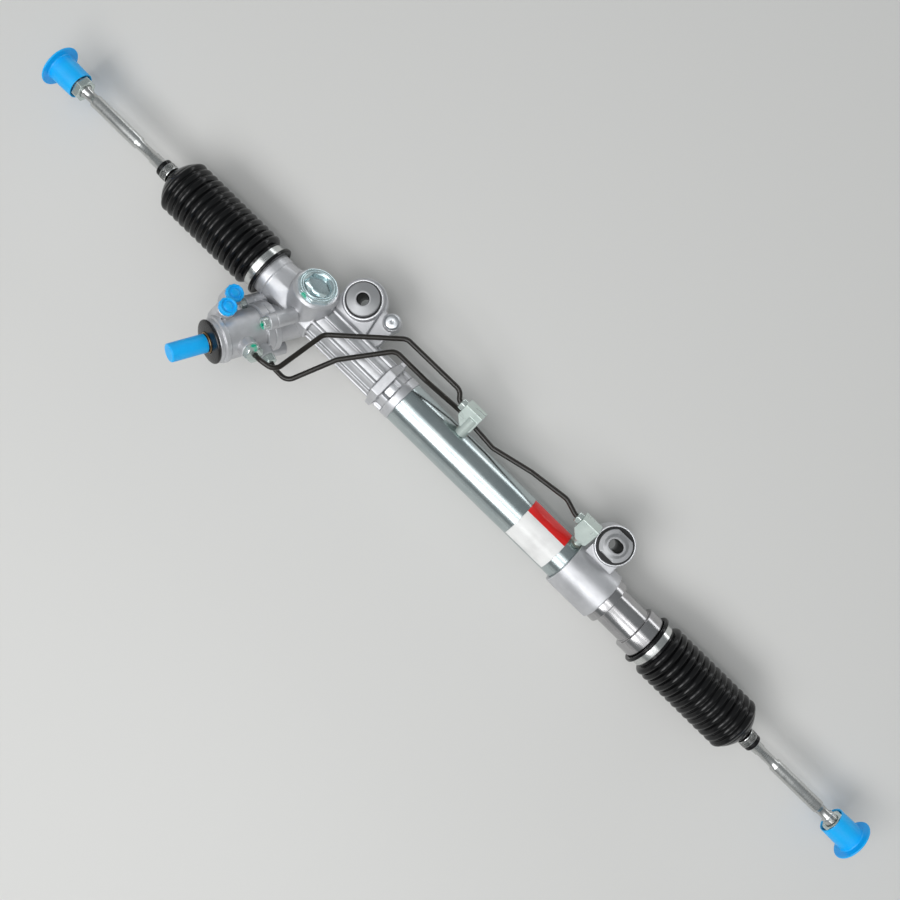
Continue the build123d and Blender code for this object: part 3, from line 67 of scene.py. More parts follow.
# Castings. The gear housing, the valve housing and the end bracket are aluminium castings with
# a blasted skin, soft corners and painted shade in the hollows. Each is the solid with its corners melted
# round.
def socketed(name, inputs, outputs):
    """New shader node group: its inputs are given as values by name, its outputs as kinds by name."""
    group = bpy.data.node_groups.new(name, "ShaderNodeTree")
    for label, value in inputs.items():
        kind = {3: "Vector", 4: "Color"}[len(value)] if isinstance(value, tuple) else "Float"
        socket = group.interface.new_socket(label, in_out="INPUT", socket_type="NodeSocket" + kind)
        socket.default_value = value
    for label, kind in outputs.items():
        group.interface.new_socket(label, in_out="OUTPUT", socket_type="NodeSocket" + kind)
    entry, leave = group.nodes.new("NodeGroupInput"), group.nodes.new("NodeGroupOutput")
    return group, entry, leave


def node(tree, kind, inputs=(), **settings):
    """Node of a kind, with its settings, and its inputs as values or as links from sockets."""
    made = tree.nodes.new("ShaderNode" + kind)
    for name, value in settings.items():
        setattr(made, name, value)
    for place, value in dict(inputs).items():
        if isinstance(value, bpy.types.NodeSocket):
            tree.links.new(value, made.inputs[place])
        else:
            made.inputs[place].default_value = value
    return made


def ramp(tree, value, low, high):
    """Value remapped from low..high to 0..1, smooth at both ends."""
    sockets = {0: value, 1: low, 2: high, 3: 0.0, 4: 1.0}
    return node(tree, "MapRange", sockets, interpolation_type="SMOOTHSTEP").outputs[0]


def maths(tree, operation, *values, **settings):
    """Result of a math node on values or sockets."""
    return node(tree, "Math", dict(enumerate(values)), operation=operation, **settings).outputs[0]


def vectors(tree, operation, first, second):
    """Result of a vector node on vectors or sockets: a number for a product, a length or a distance."""
    made = node(tree, "VectorMath", {0: first, 1: second}, operation=operation)
    return made.outputs["Value" if operation in ("DOT_PRODUCT", "LENGTH", "DISTANCE") else "Vector"]


def tinted(tree, share, first, second):
    """Colour between two colours or sockets, by a share."""
    return node(tree, "Mix", {0: share, 6: first, 7: second}, data_type="RGBA").outputs[2]


def noise(tree, place, scale, detail=2.0, roughness=0.5, distortion=0.0):
    """Noise from 0 to 1 at a place, with a number of waves to the metre."""
    sockets = {"Vector": place, "Scale": scale, "Detail": detail, "Roughness": roughness,
               "Distortion": distortion}
    return node(tree, "TexNoise", sockets).outputs[0]


# Metal skin: slow clouding of the colour, smudges in the gloss and fine grain in the height
skin, entry, leave = socketed(
    "metal_skin",
    {"Colour": (0.6, 0.6, 0.6, 1), "Dark": (0.3, 0.3, 0.3, 1), "Clouding": 0.3, "Cloud scale": 40.0,
     "Grain scale": 1500.0, "Roughness": 0.4, "Smudges": 0.1},
    {"Colour": "Color", "Roughness": "Float", "Height": "Float"})
place = node(skin, "TexCoord").outputs["Object"]
clouds = ramp(skin, noise(skin, place, entry.outputs["Cloud scale"], 5.0, 0.6), 0.35, 0.7)
amount = maths(skin, "MULTIPLY", clouds, entry.outputs["Clouding"])
tint = tinted(skin, amount, entry.outputs["Colour"], entry.outputs["Dark"])
grain = noise(skin, place, entry.outputs["Grain scale"], 3.0, 0.65)
rubbed = maths(skin, "SUBTRACT", noise(skin, place, 95.0, 6.0, distortion=0.8), 0.5)
gloss = maths(skin, "MULTIPLY_ADD", rubbed, entry.outputs["Smudges"], entry.outputs["Roughness"],
              use_clamp=True)
for label, socket in (("Colour", tint), ("Roughness", gloss), ("Height", grain)):
    skin.links.new(socket, leave.inputs[label])

# Tool lines: fine lines across a direction, as a lathe, a grinder or a drawing die leaves them
lines, entry, leave = socketed(
    "tool_lines", {"Direction": (1.0, 0.0, 0.0), "Fineness": 2500.0, "Waviness": 4.0},
    {"Height": "Float", "Mask": "Float"})
place = node(lines, "TexCoord").outputs["Object"]
along = vectors(lines, "DOT_PRODUCT", place, entry.outputs["Direction"])
shift = maths(lines, "MULTIPLY", noise(lines, place, 60.0), entry.outputs["Waviness"])
turn = maths(lines, "MULTIPLY_ADD", along, entry.outputs["Fineness"], shift)
marks = node(lines, "TexNoise", {"W": turn, "Scale": 1.0, "Detail": 4.0, "Roughness": 0.7},
             noise_dimensions="1D")
lines.links.new(marks.outputs[0], leave.inputs["Height"])
lines.links.new(ramp(lines, marks.outputs[0], 0.4, 0.65), leave.inputs["Mask"])

# Rubbed edges and crease shade: where the surface turns outwards the skin is rubbed bright; where it turns
# inwards it takes the colour of the hollows, which is painted shade on metal and plastic and a pale bloom of
# dust on rubber
edges_and_creases, entry, leave = socketed(
    "rubbed_edges_and_shaded_creases",
    {"Colour": (0.6, 0.6, 0.6, 1), "Bright": (0.8, 0.8, 0.8, 1), "Hollow": (0.2, 0.2, 0.2, 1), "Rub": 0.5,
     "Dust and shade": 0.5}, {"Colour": "Color"})
bend = node(edges_and_creases, "NewGeometry").outputs["Pointiness"]
edge = maths(edges_and_creases, "MULTIPLY", ramp(edges_and_creases, bend, 0.505, 0.56), entry.outputs["Rub"])
# Painted shade where the surface turns inwards on metal and plastic; on rubber the same step lays pale dust
well = maths(edges_and_creases, "MULTIPLY", ramp(edges_and_creases, bend, 0.495, 0.44), entry.outputs["Dust and shade"])
darker = tinted(edges_and_creases, well, entry.outputs["Colour"], entry.outputs["Hollow"])
edges_and_creases.links.new(tinted(edges_and_creases, edge, darker, entry.outputs["Bright"]), leave.inputs["Colour"])

# Machined face: the skin that lies in a plane and looks along its direction, as a cutter leaves it
faced, entry, leave = socketed(
    "machined_face", {"Direction": (0.0, 0.0, 1.0), "Offset": 0.0}, {"Mask": "Float"})
place = node(faced, "TexCoord").outputs["Object"]
height = vectors(faced, "DOT_PRODUCT", place, entry.outputs["Direction"])
in_plane = maths(faced, "COMPARE", height, entry.outputs["Offset"], 0.0005)
facing = node(faced, "NewGeometry").outputs["Normal"]
flat = ramp(faced, vectors(faced, "DOT_PRODUCT", facing, entry.outputs["Direction"]), 0.93, 0.985)
faced.links.new(maths(faced, "MULTIPLY", in_plane, flat), leave.inputs["Mask"])

# Paint dab: a round inspection mark with a ragged edge, round a point
dab, entry, leave = socketed(
    "paint_dab", {"Centre": (0.0, 0.0, 0.0), "Radius": 0.004}, {"Mask": "Float"})
place = node(dab, "TexCoord").outputs["Object"]
ragged = node(dab, "TexNoise", {"Vector": place, "Scale": 700.0, "Detail": 2.0})
wobble = node(dab, "VectorMath", {0: ragged.outputs["Color"], 3: 0.0022}, operation="SCALE").outputs[0]
far = vectors(dab, "DISTANCE", vectors(dab, "ADD", place, wobble), entry.outputs["Centre"])
share = maths(dab, "DIVIDE", far, entry.outputs["Radius"])
dab.links.new(ramp(dab, share, 1.15, 0.75), leave.inputs["Mask"])


def material(name):
    """Empty material with its node tree and Principled shader."""
    made = bpy.data.materials.new(name)
    made.use_nodes = True
    shader = made.node_tree.nodes["Principled BSDF"]
    return made, made.node_tree, shader


def group_node(tree, group, inputs):
    """One of the shared groups placed in a material with its own values."""
    return node(tree, "Group", inputs, node_tree=group)


def bumped(tree, shader, height, distance):
    """Bump of a height in metres on the shader's normal."""
    bump = node(tree, "Bump", {"Height": height, "Distance": distance})
    tree.links.new(bump.outputs[0], shader.inputs["Normal"])


def dressed(obj, finish):
    """Gives an object one material for all its faces."""
    obj.data.materials.clear()
    obj.data.materials.append(finish)
    return obj


def placed(piece, finish, slot, body, *solids):
    """Piece in its material, on its body, in place of the solids that it stands for; the slot is not used."""
    dressed(piece, finish)
    if solids:
        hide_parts(*solids)
    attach(piece, body)


def linked(name, data):
    """New object with its data, in the scene."""
    made = bpy.data.objects.new(name, data)
    bpy.context.scene.collection.objects.link(made)
    return made


def metal(name, colour, dark, roughness, clouding=0.3, smudges=0.12, grain=0.00002, grain_scale=1500.0,
          rub_amount=0.35, crease_shade=0.4, line_direction=None, line_height=0.00001, fineness=2500.0, dabs=(),
          cuts=(), sheen=1.0):
    """Metal with skin, rubbed edges, painted shade in its creases, tool lines, machined faces and paint dabs as
    asked. The sheen is the share that mirrors as bare metal does; the rest scatters, as a blasted or oxidised
    skin does."""
    made, tree, shader = material(name)
    base = group_node(tree, skin, {"Colour": (*colour, 1), "Dark": (*dark, 1), "Clouding": clouding,
                                   "Grain scale": grain_scale, "Roughness": roughness, "Smudges": smudges})
    bright = tuple(min(1.0, c * 1.25 + 0.03) for c in colour)
    # Painted shade for the creases: the dark colour cut to a third
    hollow = tuple(c * 0.3 for c in dark)
    edges = group_node(tree, edges_and_creases, {"Colour": base.outputs["Colour"], "Bright": (*bright, 1),
                                   "Hollow": (*hollow, 1), "Rub": rub_amount, "Dust and shade": crease_shade})
    tone, shine, gloss = edges.outputs["Colour"], sheen, base.outputs["Roughness"]
    for direction, offset in cuts:
        mask = group_node(tree, faced, {"Direction": direction, "Offset": offset}).outputs[0]
        tone = tinted(tree, mask, tone, (*bright, 1))
        gloss = node(tree, "Mix", {0: mask, 2: gloss, 3: roughness * 0.6}, data_type="FLOAT").outputs[0]
    for centre, radius, paint in dabs:
        mark = group_node(tree, dab, {"Centre": centre, "Radius": radius}).outputs[0]
        tone = tinted(tree, mark, tone, (*paint, 1))
        shine = maths(tree, "SUBTRACT", shine, mark, use_clamp=True)
    tree.links.new(tone, shader.inputs["Base Color"])
    tree.links.new(gloss, shader.inputs["Roughness"])
    shader.inputs["Metallic"].default_value = sheen
    if dabs:
        tree.links.new(shine, shader.inputs["Metallic"])
    if line_direction is None:
        bumped(tree, shader, base.outputs["Height"], grain)
    else:
        cut = group_node(tree, lines, {"Direction": line_direction, "Fineness": fineness})
        duller = maths(tree, "MULTIPLY_ADD", cut.outputs["Mask"], 0.3 * roughness, gloss)
        tree.links.new(duller, shader.inputs["Roughness"])
        fine = node(tree, "Bump", {"Height": base.outputs["Height"], "Distance": grain})
        ridge = node(tree, "Bump", {"Height": cut.outputs["Height"], "Distance": line_height,
                                    "Normal": fine.outputs[0]})
        tree.links.new(ridge.outputs[0], shader.inputs["Normal"])
    return made


def melted(name, solid, grid, rounds, finish, slot):
    """The solid remade on a cubic grid, then relaxed so that its corners turn round: each point moves half
    way to the mean of its neighbours, a few times over. It rides with the body that owns the solid."""
    triangle_limit = 190000
    stock = bmesh.new()
    stock.from_mesh(frame["nodes"][solid].data)
    bmesh.ops.remove_doubles(stock, verts=stock.verts, dist=1e-6)
    mesh = bpy.data.meshes.new(name)
    stock.to_mesh(mesh)
    stock.free()
    made = linked(name, mesh)
    remake = made.modifiers.new("remake", "REMESH")
    remake.mode, remake.voxel_size, remake.use_smooth_shade = "VOXEL", grid, True
    relax = made.modifiers.new("relax", "SMOOTH")
    relax.factor, relax.iterations = 0.5, rounds
    thin = made.modifiers.new("thin", "DECIMATE")
    evaluated = made.evaluated_get(bpy.context.evaluated_depsgraph_get())
    count = sum(len(face.vertices) - 2 for face in evaluated.data.polygons)
    thin.ratio = min(1.0, triangle_limit / count)
    evaluated = made.evaluated_get(bpy.context.evaluated_depsgraph_get())
    final = bpy.data.meshes.new_from_object(evaluated)
    made.modifiers.clear()
    made.data = final
    final.shade_smooth()
    bodies = frame["record"]["behaviour"]["bodies"]
    placed(made, finish, slot, [body for body in bodies if solid in bodies[body]][0], solid)


upright, downward = (0.0, 0.0, 1.0), (0.0, 0.0, -1.0)
yoke_line, shaft_line = (0.0, 0.5736, 0.8192), (-0.342020, -0.769751, 0.538986)
blasted_skin = {"colour": (0.60, 0.605, 0.625), "dark": (0.43, 0.435, 0.45), "roughness": 0.40,
                "clouding": 0.55, "smudges": 0.25, "grain": 0.00005, "rub_amount": 0.45,
                "crease_shade": 0.75, "sheen": 0.62}
gear_cuts = [(upright, 0.018), (upright, 0.012), (downward, 0.018), (yoke_line, 0.01076),
             (shaft_line, 0.14387)]
bracket_cuts = [(upright, 0.023), (downward, 0.015)]
cast_aluminium = metal("cast_aluminium", **blasted_skin, cuts=gear_cuts)
bracket_aluminium = metal("bracket_aluminium", **blasted_skin, cuts=bracket_cuts)
melted("gear_casting", "gear_housing", 0.0008, 2, cast_aluminium, "cast_aluminium")
melted("valve_casting", "valve_housing", 0.0006, 3, cast_aluminium, "cast_aluminium")
melted("bracket_casting", "end_bracket", 0.0006, 3, bracket_aluminium, "cast_aluminium")


# Cylinder tube. Cold-drawn steel tube with a bright zinc coat, pushed on the collar of the gear
# housing at one end and into the end bracket at the other; its mouth is rolled in slightly.
def eased(profile, radius, samples=6):
    """Profile with every inner corner P replaced by the curve (1-s)^2 A + 2s(1-s) P + s^2 B, where A and B
    lie on the two legs at the given distance from P, or at 0.45 of the shorter leg."""
    points = np.asarray(profile, float)
    before, corner, after = points[:-2], points[1:-1], points[2:]
    leg_in, leg_out = corner - before, after - corner
    length_in = np.linalg.norm(leg_in, axis=1, keepdims=True)
    length_out = np.linalg.norm(leg_out, axis=1, keepdims=True)
    reach = np.minimum(radius, 0.45 * np.minimum(length_in, length_out))
    start = corner - leg_in / length_in * reach
    end = corner + leg_out / length_out * reach
    s = np.linspace(0, 1, samples)[None, :, None]
    curve = (1 - s) ** 2 * start[:, None] + 2 * s * (1 - s) * corner[:, None] + s**2 * end[:, None]
    return np.vstack([points[:1], curve.reshape(-1, points.shape[1]), points[-1:]])


def skinned(name, grid, closed_across=True, closed_along=False, poles=True):
    """Mesh object through a grid of points [along, across]: each cell of four neighbours is one face,
    with the last row or column joined to the first where the grid is closed, and poles merged."""
    rows, columns = grid.shape[:2]
    index = np.arange(rows * columns).reshape(rows, columns)
    if closed_across:
        index = np.hstack([index, index[:, :1]])
    if closed_along:
        index = np.vstack([index, index[:1]])
    cells = np.stack([index[:-1, :-1], index[:-1, 1:], index[1:, 1:], index[1:, :-1]], axis=-1)
    mesh = bpy.data.meshes.new(name)
    mesh.from_pydata(grid.reshape(-1, 3), [], cells.reshape(-1, 4).tolist())
    shape = bmesh.new()
    shape.from_mesh(mesh)
    if poles:
        bmesh.ops.remove_doubles(shape, verts=shape.verts, dist=2e-6)
    bmesh.ops.recalc_face_normals(shape, faces=shape.faces)
    shape.to_mesh(mesh)
    shape.free()
    mesh.shade_smooth()
    return linked(name, mesh)


def square_to(direction):
    """Two unit vectors square to a direction and to each other."""
    first = np.cross(direction, (0.0, 0.0, 1.0) if abs(direction[2]) < 0.9 else (1.0, 0.0, 0.0))
    first /= np.linalg.norm(first)
    return first, np.cross(direction, first)


def turned(name, profile, origin, direction, radius_at=None, steps=96, closed=False, corner=0.4):
    """Surface of revolution of a profile in millimetres, (along, radius): point(a, p) = origin + a d +
    r(a, p) (cos p e + sin p f), with d the axis, e and f square to it, and r the profile's radius or
    what radius_at makes of it, such as the flats of a hexagon."""
    line = eased(profile, corner) if corner else np.asarray(profile, float)
    axis = np.asarray(direction, float) / np.linalg.norm(direction)
    first, second = square_to(axis)
    phase = np.linspace(0, 2 * np.pi, steps, endpoint=False)
    along, radius = line[:, :1], np.repeat(line[:, 1:], steps, axis=1)
    if radius_at is not None:
        radius = radius_at(np.repeat(along, steps, axis=1), radius, phase[None, :])
    around = np.cos(phase)[None, :, None] * first + np.sin(phase)[None, :, None] * second
    grid = (along[:, :, None] * axis + radius[:, :, None] * around) * millimetre + np.asarray(origin, float)
    return skinned(name, grid, closed_along=closed)


rack_y = -0.044
rack_foot = (0.0, rack_y, 0.0)
along_rack = (1.0, 0.0, 0.0)
tube_start, tube_end, tube_radius, tube_bore = 96.5, 372.0, 23.3, 20.5
bright_zinc = metal("bright_zinc", (0.50, 0.56, 0.565), (0.38, 0.45, 0.47), 0.22, clouding=0.5, smudges=0.1,
                    grain=0.0000003, rub_amount=0.0, crease_shade=0.0)
tube_profile = [(tube_start, tube_bore), (tube_start, tube_radius), (tube_start + 1, tube_radius),
                (tube_end, tube_radius), (tube_end, tube_bore), (tube_start, tube_bore)]
tube_piece = turned("drawn_tube", tube_profile, rack_foot, along_rack, steps=192)
placed(tube_piece, bright_zinc, "zinc_tube", "gear", "cylinder_tube")


# Paper label on the tube, left blank: a white sheet with a red band, glued round the upper side
def wrapped(name, start, end, low, high, radius, rows=60, columns=90):
    """Patch of a cylinder round the rack: point(u, v) = (x0 + u (x1-x0), r cos a, r sin a), with the angle a
    running from low to high, and the radius raised by a few hundredths of a millimetre at the rims."""
    u, v = np.linspace(0, 1, rows)[:, None], np.linspace(0, 1, columns)[None, :]
    angle = np.radians(low + (high - low) * v) + 0 * u
    rim = np.maximum(np.abs(2 * u - 1), np.abs(2 * v - 1)) ** 40
    reach = (radius + 0.05 + 0.12 * rim * (0.5 + 0.5 * np.sin(9 * u + 14 * v))) * millimetre
    x = (start + (end - start) * u + 0 * v) * millimetre
    y = rack_y + reach * np.cos(angle)
    z = reach * np.sin(angle)
    return skinned(name, np.stack([x, y, z], axis=-1), closed_across=False, poles=False)


label = wrapped("blank_label", 260.0, 310.0, 22.0, 158.0, tube_radius + 0.12)
paper, tree, shader = material("label_paper")
place = node(tree, "TexCoord").outputs["Object"]
apart = node(tree, "SeparateXYZ", {0: place})
wander = maths(tree, "MULTIPLY_ADD", noise(tree, place, 900.0), 0.0003, apart.outputs[1])
band = ramp(tree, wander, -0.0352, -0.0349)
fibre = noise(tree, place, 1400.0, 5.0)
stain = ramp(tree, noise(tree, place, 60.0, 4.0), 0.4, 0.75)
white = tinted(tree, stain, (0.86, 0.86, 0.85, 1), (0.74, 0.74, 0.73, 1))
red = tinted(tree, stain, (0.80, 0.008, 0.006, 1), (0.70, 0.008, 0.006, 1))
tree.links.new(tinted(tree, band, white, red), shader.inputs["Base Color"])
shader.inputs["Roughness"].default_value = 0.38
shader.inputs["Coat Weight"].default_value = 0.25
bumped(tree, shader, fibre, 0.00003)
wall = label.modifiers.new("wall", "SOLIDIFY")
wall.thickness, wall.offset = 0.00009, 1.0
placed(label, paper, "zinc_tube", "gear")


# Cylinder end. A turned steel head pressed into the bracket: flange, neck, collar and the seat of the
# boot, all with fine lathe marks; the bracket holds its flange.
turned_steel = metal("turned_steel", (0.46, 0.455, 0.46), (0.33, 0.325, 0.34), 0.18, clouding=0.4,
                     grain=0.000005, rub_amount=0.3, crease_shade=0.3, line_direction=along_rack,
                     line_height=0.000008, fineness=4200.0)
end_profile = [(346.0, 14.0), (346.0, 20.4), (375.05, 20.4), (375.05, 25.0), (384.7, 25.0), (384.7, 20.4),
               (418.7, 20.4), (418.7, 24.75), (435.3, 24.75), (435.3, 22.75), (453.0, 22.75), (453.0, 16.5),
               (437.0, 16.5), (437.0, 14.0), (346.0, 14.0)]
head = turned("turned_head", end_profile, rack_foot, along_rack, steps=160, corner=0.9)
placed(head, turned_steel, "turned_steel", "gear", "cylinder_end")


# Adjuster of the rack guide: a zinc-plated plug with a hexagon socket, screwed into the boss and held
# by an eight-sided locknut that carries a dab of green paint.
green = (0.0, 0.42, 0.25)
plug_foot = np.array((-0.038, rack_y, 0.0))
locknut_mark = plug_foot + np.array(yoke_line) * 0.039 + 0.0185 * np.array((-0.05, -0.82, 0.57))
pale_zinc = metal("pale_zinc", (0.64, 0.72, 0.68), (0.50, 0.59, 0.56), 0.30, clouding=0.5, smudges=0.2,
                  rub_amount=0.45, crease_shade=0.6, sheen=0.55)
marked_zinc = metal("marked_zinc", (0.68, 0.80, 0.82), (0.48, 0.62, 0.65), 0.16, clouding=0.6, smudges=0.15,
                    rub_amount=0.5, crease_shade=0.8, grain=0.000006, dabs=[(locknut_mark, 0.0035, green)], sheen=0.85)


def hexagon(flats, corners=6, phase=0.0):
    """Radius of a prism with flats: the profile's radius, but no more than half the width over the flats
    divided by the cosine of the angle from the nearest flat."""
    part = 2 * np.pi / corners

    def cut(along, radius, angle):
        """The lesser of the turned radius and the flat's distance at this angle."""
        away = np.mod(angle - phase + part / 2, part) - part / 2
        return np.minimum(radius, flats / 2 / np.cos(away))

    return cut


locknut_profile = [(36.0, 16.7), (36.0, 20.0), (36.6, 20.45), (39.7, 20.45), (40.5, 19.0), (40.5, 17.4),
                   (40.1, 16.7), (36.0, 16.7)]
locknut = turned("eight_sided_nut", locknut_profile, plug_foot, yoke_line, hexagon(37.8, 8), 160, corner=0.3)
placed(locknut, marked_zinc, "yellowish_zinc", "gear", "yoke_locknut")
socket_cut = hexagon(25.0)


def plug_radius_at(along, radius, angle):
    """Outside the socket the turned radius; in the socket, marked by radii under 14.5, the six flats."""
    return np.where((radius < 14.5) & (along > 30.0), socket_cut(along, radius, angle), radius)


plug_profile = [(27.0, 0.0), (27.0, 16.6), (40.4, 16.6), (41.0, 16.0), (41.0, 15.4), (40.4, 14.6),
                (39.8, 14.43), (35.0, 14.43), (33.8, 13.4), (33.4, 11.0), (33.0, 10.0), (31.0, 4.0),
                (30.6, 0.0)]
plug = turned("socket_plug", plug_profile, plug_foot, yoke_line, plug_radius_at, 160, corner=0.35)
placed(plug, marked_zinc, "yellowish_zinc", "gear", "yoke_plug")


# Transfer lines. Two bent steel pipes of 5 mm, painted black, lead the oil from the valve to both
# ends of the cylinder; each end has a zinc-plated pipe nut.
def bent(points, bend_radius, step=0.8):
    """Path along straight runs joined by arcs tangent to both: each corner is replaced by the arc of the
    bend radius, or of 0.45 of the shorter leg over tan(half the turn)."""
    points = np.asarray(points, float)
    path = [points[0]]
    for before, corner, after in zip(points[:-2], points[1:-1], points[2:]):
        leg_in, leg_out = corner - before, after - corner
        long_in, long_out = np.linalg.norm(leg_in), np.linalg.norm(leg_out)
        unit_in, unit_out = leg_in / long_in, leg_out / long_out
        half = np.arccos(np.clip(unit_in @ unit_out, -1, 1)) / 2
        radius = min(bend_radius, 0.45 * min(long_in, long_out) / np.tan(half))
        inward = (unit_out - unit_in) / np.linalg.norm(unit_out - unit_in)
        middle = corner + inward * radius / np.cos(half)
        angle = np.linspace(-half, half, max(4, int(2 * half * radius / step)))[:, None]
        sideways = (unit_in + unit_out) / np.linalg.norm(unit_in + unit_out)
        path += list(middle + radius * (np.sin(angle) * sideways - np.cos(angle) * inward))
    return np.array(path + [points[-1]])


def piped(name, path, radius, steps=28):
    """Tube round a path in millimetres: point(i, p) = path_i + r (cos p a_i + sin p b_i), where a_i and b_i
    are carried along without twist: a_(i+1) is a_i less its part along the new tangent."""
    legs = np.gradient(path, axis=0)
    tangent = legs / np.linalg.norm(legs, axis=1, keepdims=True)
    carried, frames = square_to(tangent[0])[0], []
    for forward in tangent:
        carried = carried - forward * (carried @ forward)
        carried = carried / np.linalg.norm(carried)
        frames.append(carried)
    first = np.array(frames)
    second = np.cross(tangent, first)
    phase = np.linspace(0, 2 * np.pi, steps, endpoint=False)[None, :, None]
    ring = np.cos(phase) * first[:, None] + np.sin(phase) * second[:, None]
    grid = path[:, None] + radius * ring
    ends = np.repeat(path[[0, -1]][:, None], steps, axis=1)
    return skinned(name, np.vstack([ends[:1], grid, ends[1:]]) * millimetre)


line_paint, tree, shader = material("line_paint")
base = group_node(tree, skin, {"Colour": (0.016, 0.013, 0.010, 1), "Dark": (0.008, 0.006, 0.005, 1),
                               "Clouding": 0.7, "Cloud scale": 70.0, "Grain scale": 900.0,
                               "Roughness": 0.3, "Smudges": 0.2})
chipped = ramp(tree, noise(tree, node(tree, "TexCoord").outputs["Object"], 420.0, 3.0), 0.72, 0.75)
bare = tinted(tree, chipped, base.outputs["Colour"], (0.30, 0.29, 0.28, 1))
tree.links.new(bare, shader.inputs["Base Color"])
tree.links.new(chipped, shader.inputs["Metallic"])
tree.links.new(base.outputs["Roughness"], shader.inputs["Roughness"])
shader.inputs["Specular IOR Level"].default_value = 0.3
shader.inputs["Coat Weight"].default_value = 0.3
shader.inputs["Coat Roughness"].default_value = 0.08
bumped(tree, shader, base.outputs["Height"], 0.00002)
pipe_radius, pipe_bend = 2.6, 11.0
right_route = [(-37.59, -111.23, 43.40), (-24.98, -111.14, 51.52), (-8.0, -108.5, 50.0), (-1.4, -51.8, 33.0),
               (59.0, 2.0, 29.0), (130.5, 2.6, 26.4), (137.1, -5.43, 23.18), (144.1, -5.43, 23.18)]
left_route = [(-26.15, -105.51, 23.57), (-13.94, -108.95, 26.41), (3.5, -109.2, 27.5), (24.5, -60.2, 31.0),
              (59.6, -14.3, 31.0), (99.5, -14.0, 22.0), (143.0, -11.0, 4.5), (193.0, -15.0, 7.0),
              (237.0, -5.2, 13.0), (279.0, -0.4, 25.0), (295.2, -5.43, 23.18), (302.2, -5.43, 23.18)]
for side, route in (("right", right_route), ("left", left_route)):
    pipe = piped(side + "_turn_pipe", bent(route, pipe_bend), pipe_radius)
    placed(pipe, line_paint, "line_paint", "gear", side + "_turn_line")

# Pipe nuts: hexagons with both ends chamfered, one at each end of each pipe
nut_mark = np.array((-36.0, -106.0, 50.0)) * millimetre
nut_zinc = metal("nut_zinc", (0.66, 0.73, 0.70), (0.46, 0.54, 0.53), 0.22, clouding=0.5, smudges=0.2,
                 rub_amount=0.5, crease_shade=0.6, dabs=[(nut_mark, 0.0042, green)], sheen=0.8)
for number, (origin, direction, flats, length) in enumerate((
        ((-38.430, -111.231, 42.861), (0.84073, 0.00556, 0.54143), 17.0, 8.0),
        ((-27.094, -105.244, 23.354), (0.93936, -0.26473, 0.21801), 12.0, 8.0),
        ((145.10, -5.427, 23.177), (-1.0, 0.0, 0.0), 11.0, 6.0),
        ((303.20, -5.427, 23.177), (-1.0, 0.0, 0.0), 11.0, 6.0))):
    corner_radius, place = 0.577 * flats, np.array(origin) * millimetre
    nut_profile = [(0.0, 2.75), (0.0, flats / 2), (0.7, corner_radius), (length - 1.6, corner_radius),
                   (length - 0.5, flats / 2 - 0.2), (length, 0.75 * flats / 2), (length, 2.75), (0.0, 2.75)]
    flare_nut = turned(f"pipe_nut_{number}", nut_profile, place, direction, hexagon(flats), 72, corner=0.25)
    placed(flare_nut, nut_zinc, "yellowish_zinc", "gear", *(["line_nuts"] if number == 0 else []))

# Port blocks: small forged blocks on round feet, brazed on the tube, zinc-plated with the pipe nuts
for name in ("gear_side_port_block", "far_side_port_block"):
    melted("soft_" + name, name, 0.00028, 4, pale_zinc, "yellowish_zinc")

# Brazing fillet round each foot: a ring whose radius falls from the foot's side to the tube's skin
block_direction = np.array((0.0, np.cos(np.radians(31.0)), np.sin(np.radians(31.0))))
braze = metal("braze", (0.50, 0.52, 0.46), (0.30, 0.31, 0.27), 0.38, clouding=0.8, smudges=0.3, grain=0.00008,
              grain_scale=800.0)
foot_radius, fillet_width = 4.7, 2.2
for name, x in (("gear_side_braze", 159.6), ("far_side_braze", 317.7)):
    phase = np.linspace(0, 2 * np.pi, 64, endpoint=False)[None, :]
    share = np.linspace(0, 1, 10)[:, None]
    spread = foot_radius + fillet_width * (1 - share) ** 2 * (1 + 0.12 * np.sin(5 * phase + x))
    around, across = spread * np.cos(phase), spread * np.sin(phase)
    depth = np.sqrt(tube_radius**2 - across**2) + 0.05 + 1.8 * share**1.5
    sideways = np.cross(block_direction, along_rack)
    ring = (around[..., None] * np.array(along_rack) + across[..., None] * sideways
            + depth[..., None] * block_direction) * millimetre
    ring += (x * millimetre, rack_y, 0.0)
    placed(skinned(name, ring), braze, "yellowish_zinc", "gear")


# Screws of the valve housing: three socket-head screws, zinc-plated, one with a dab of green paint
screw_mark = np.array((-46.5, -87.0, 39.0)) * millimetre
screw_zinc = metal("screw_zinc", (0.66, 0.72, 0.70), (0.46, 0.53, 0.52), 0.25, clouding=0.5, smudges=0.2,
                   rub_amount=0.5, crease_shade=0.7, dabs=[(screw_mark, 0.0048, green)], sheen=0.8)
melted("socket_screws", "valve_housing_bolts", 0.00032, 3, screw_zinc, "yellowish_zinc")

# Bottom cover of the pinion: a pressed steel cap
melted("pressed_cover", "pinion_bottom_cover", 0.0004, 4, pale_zinc, "yellowish_zinc")


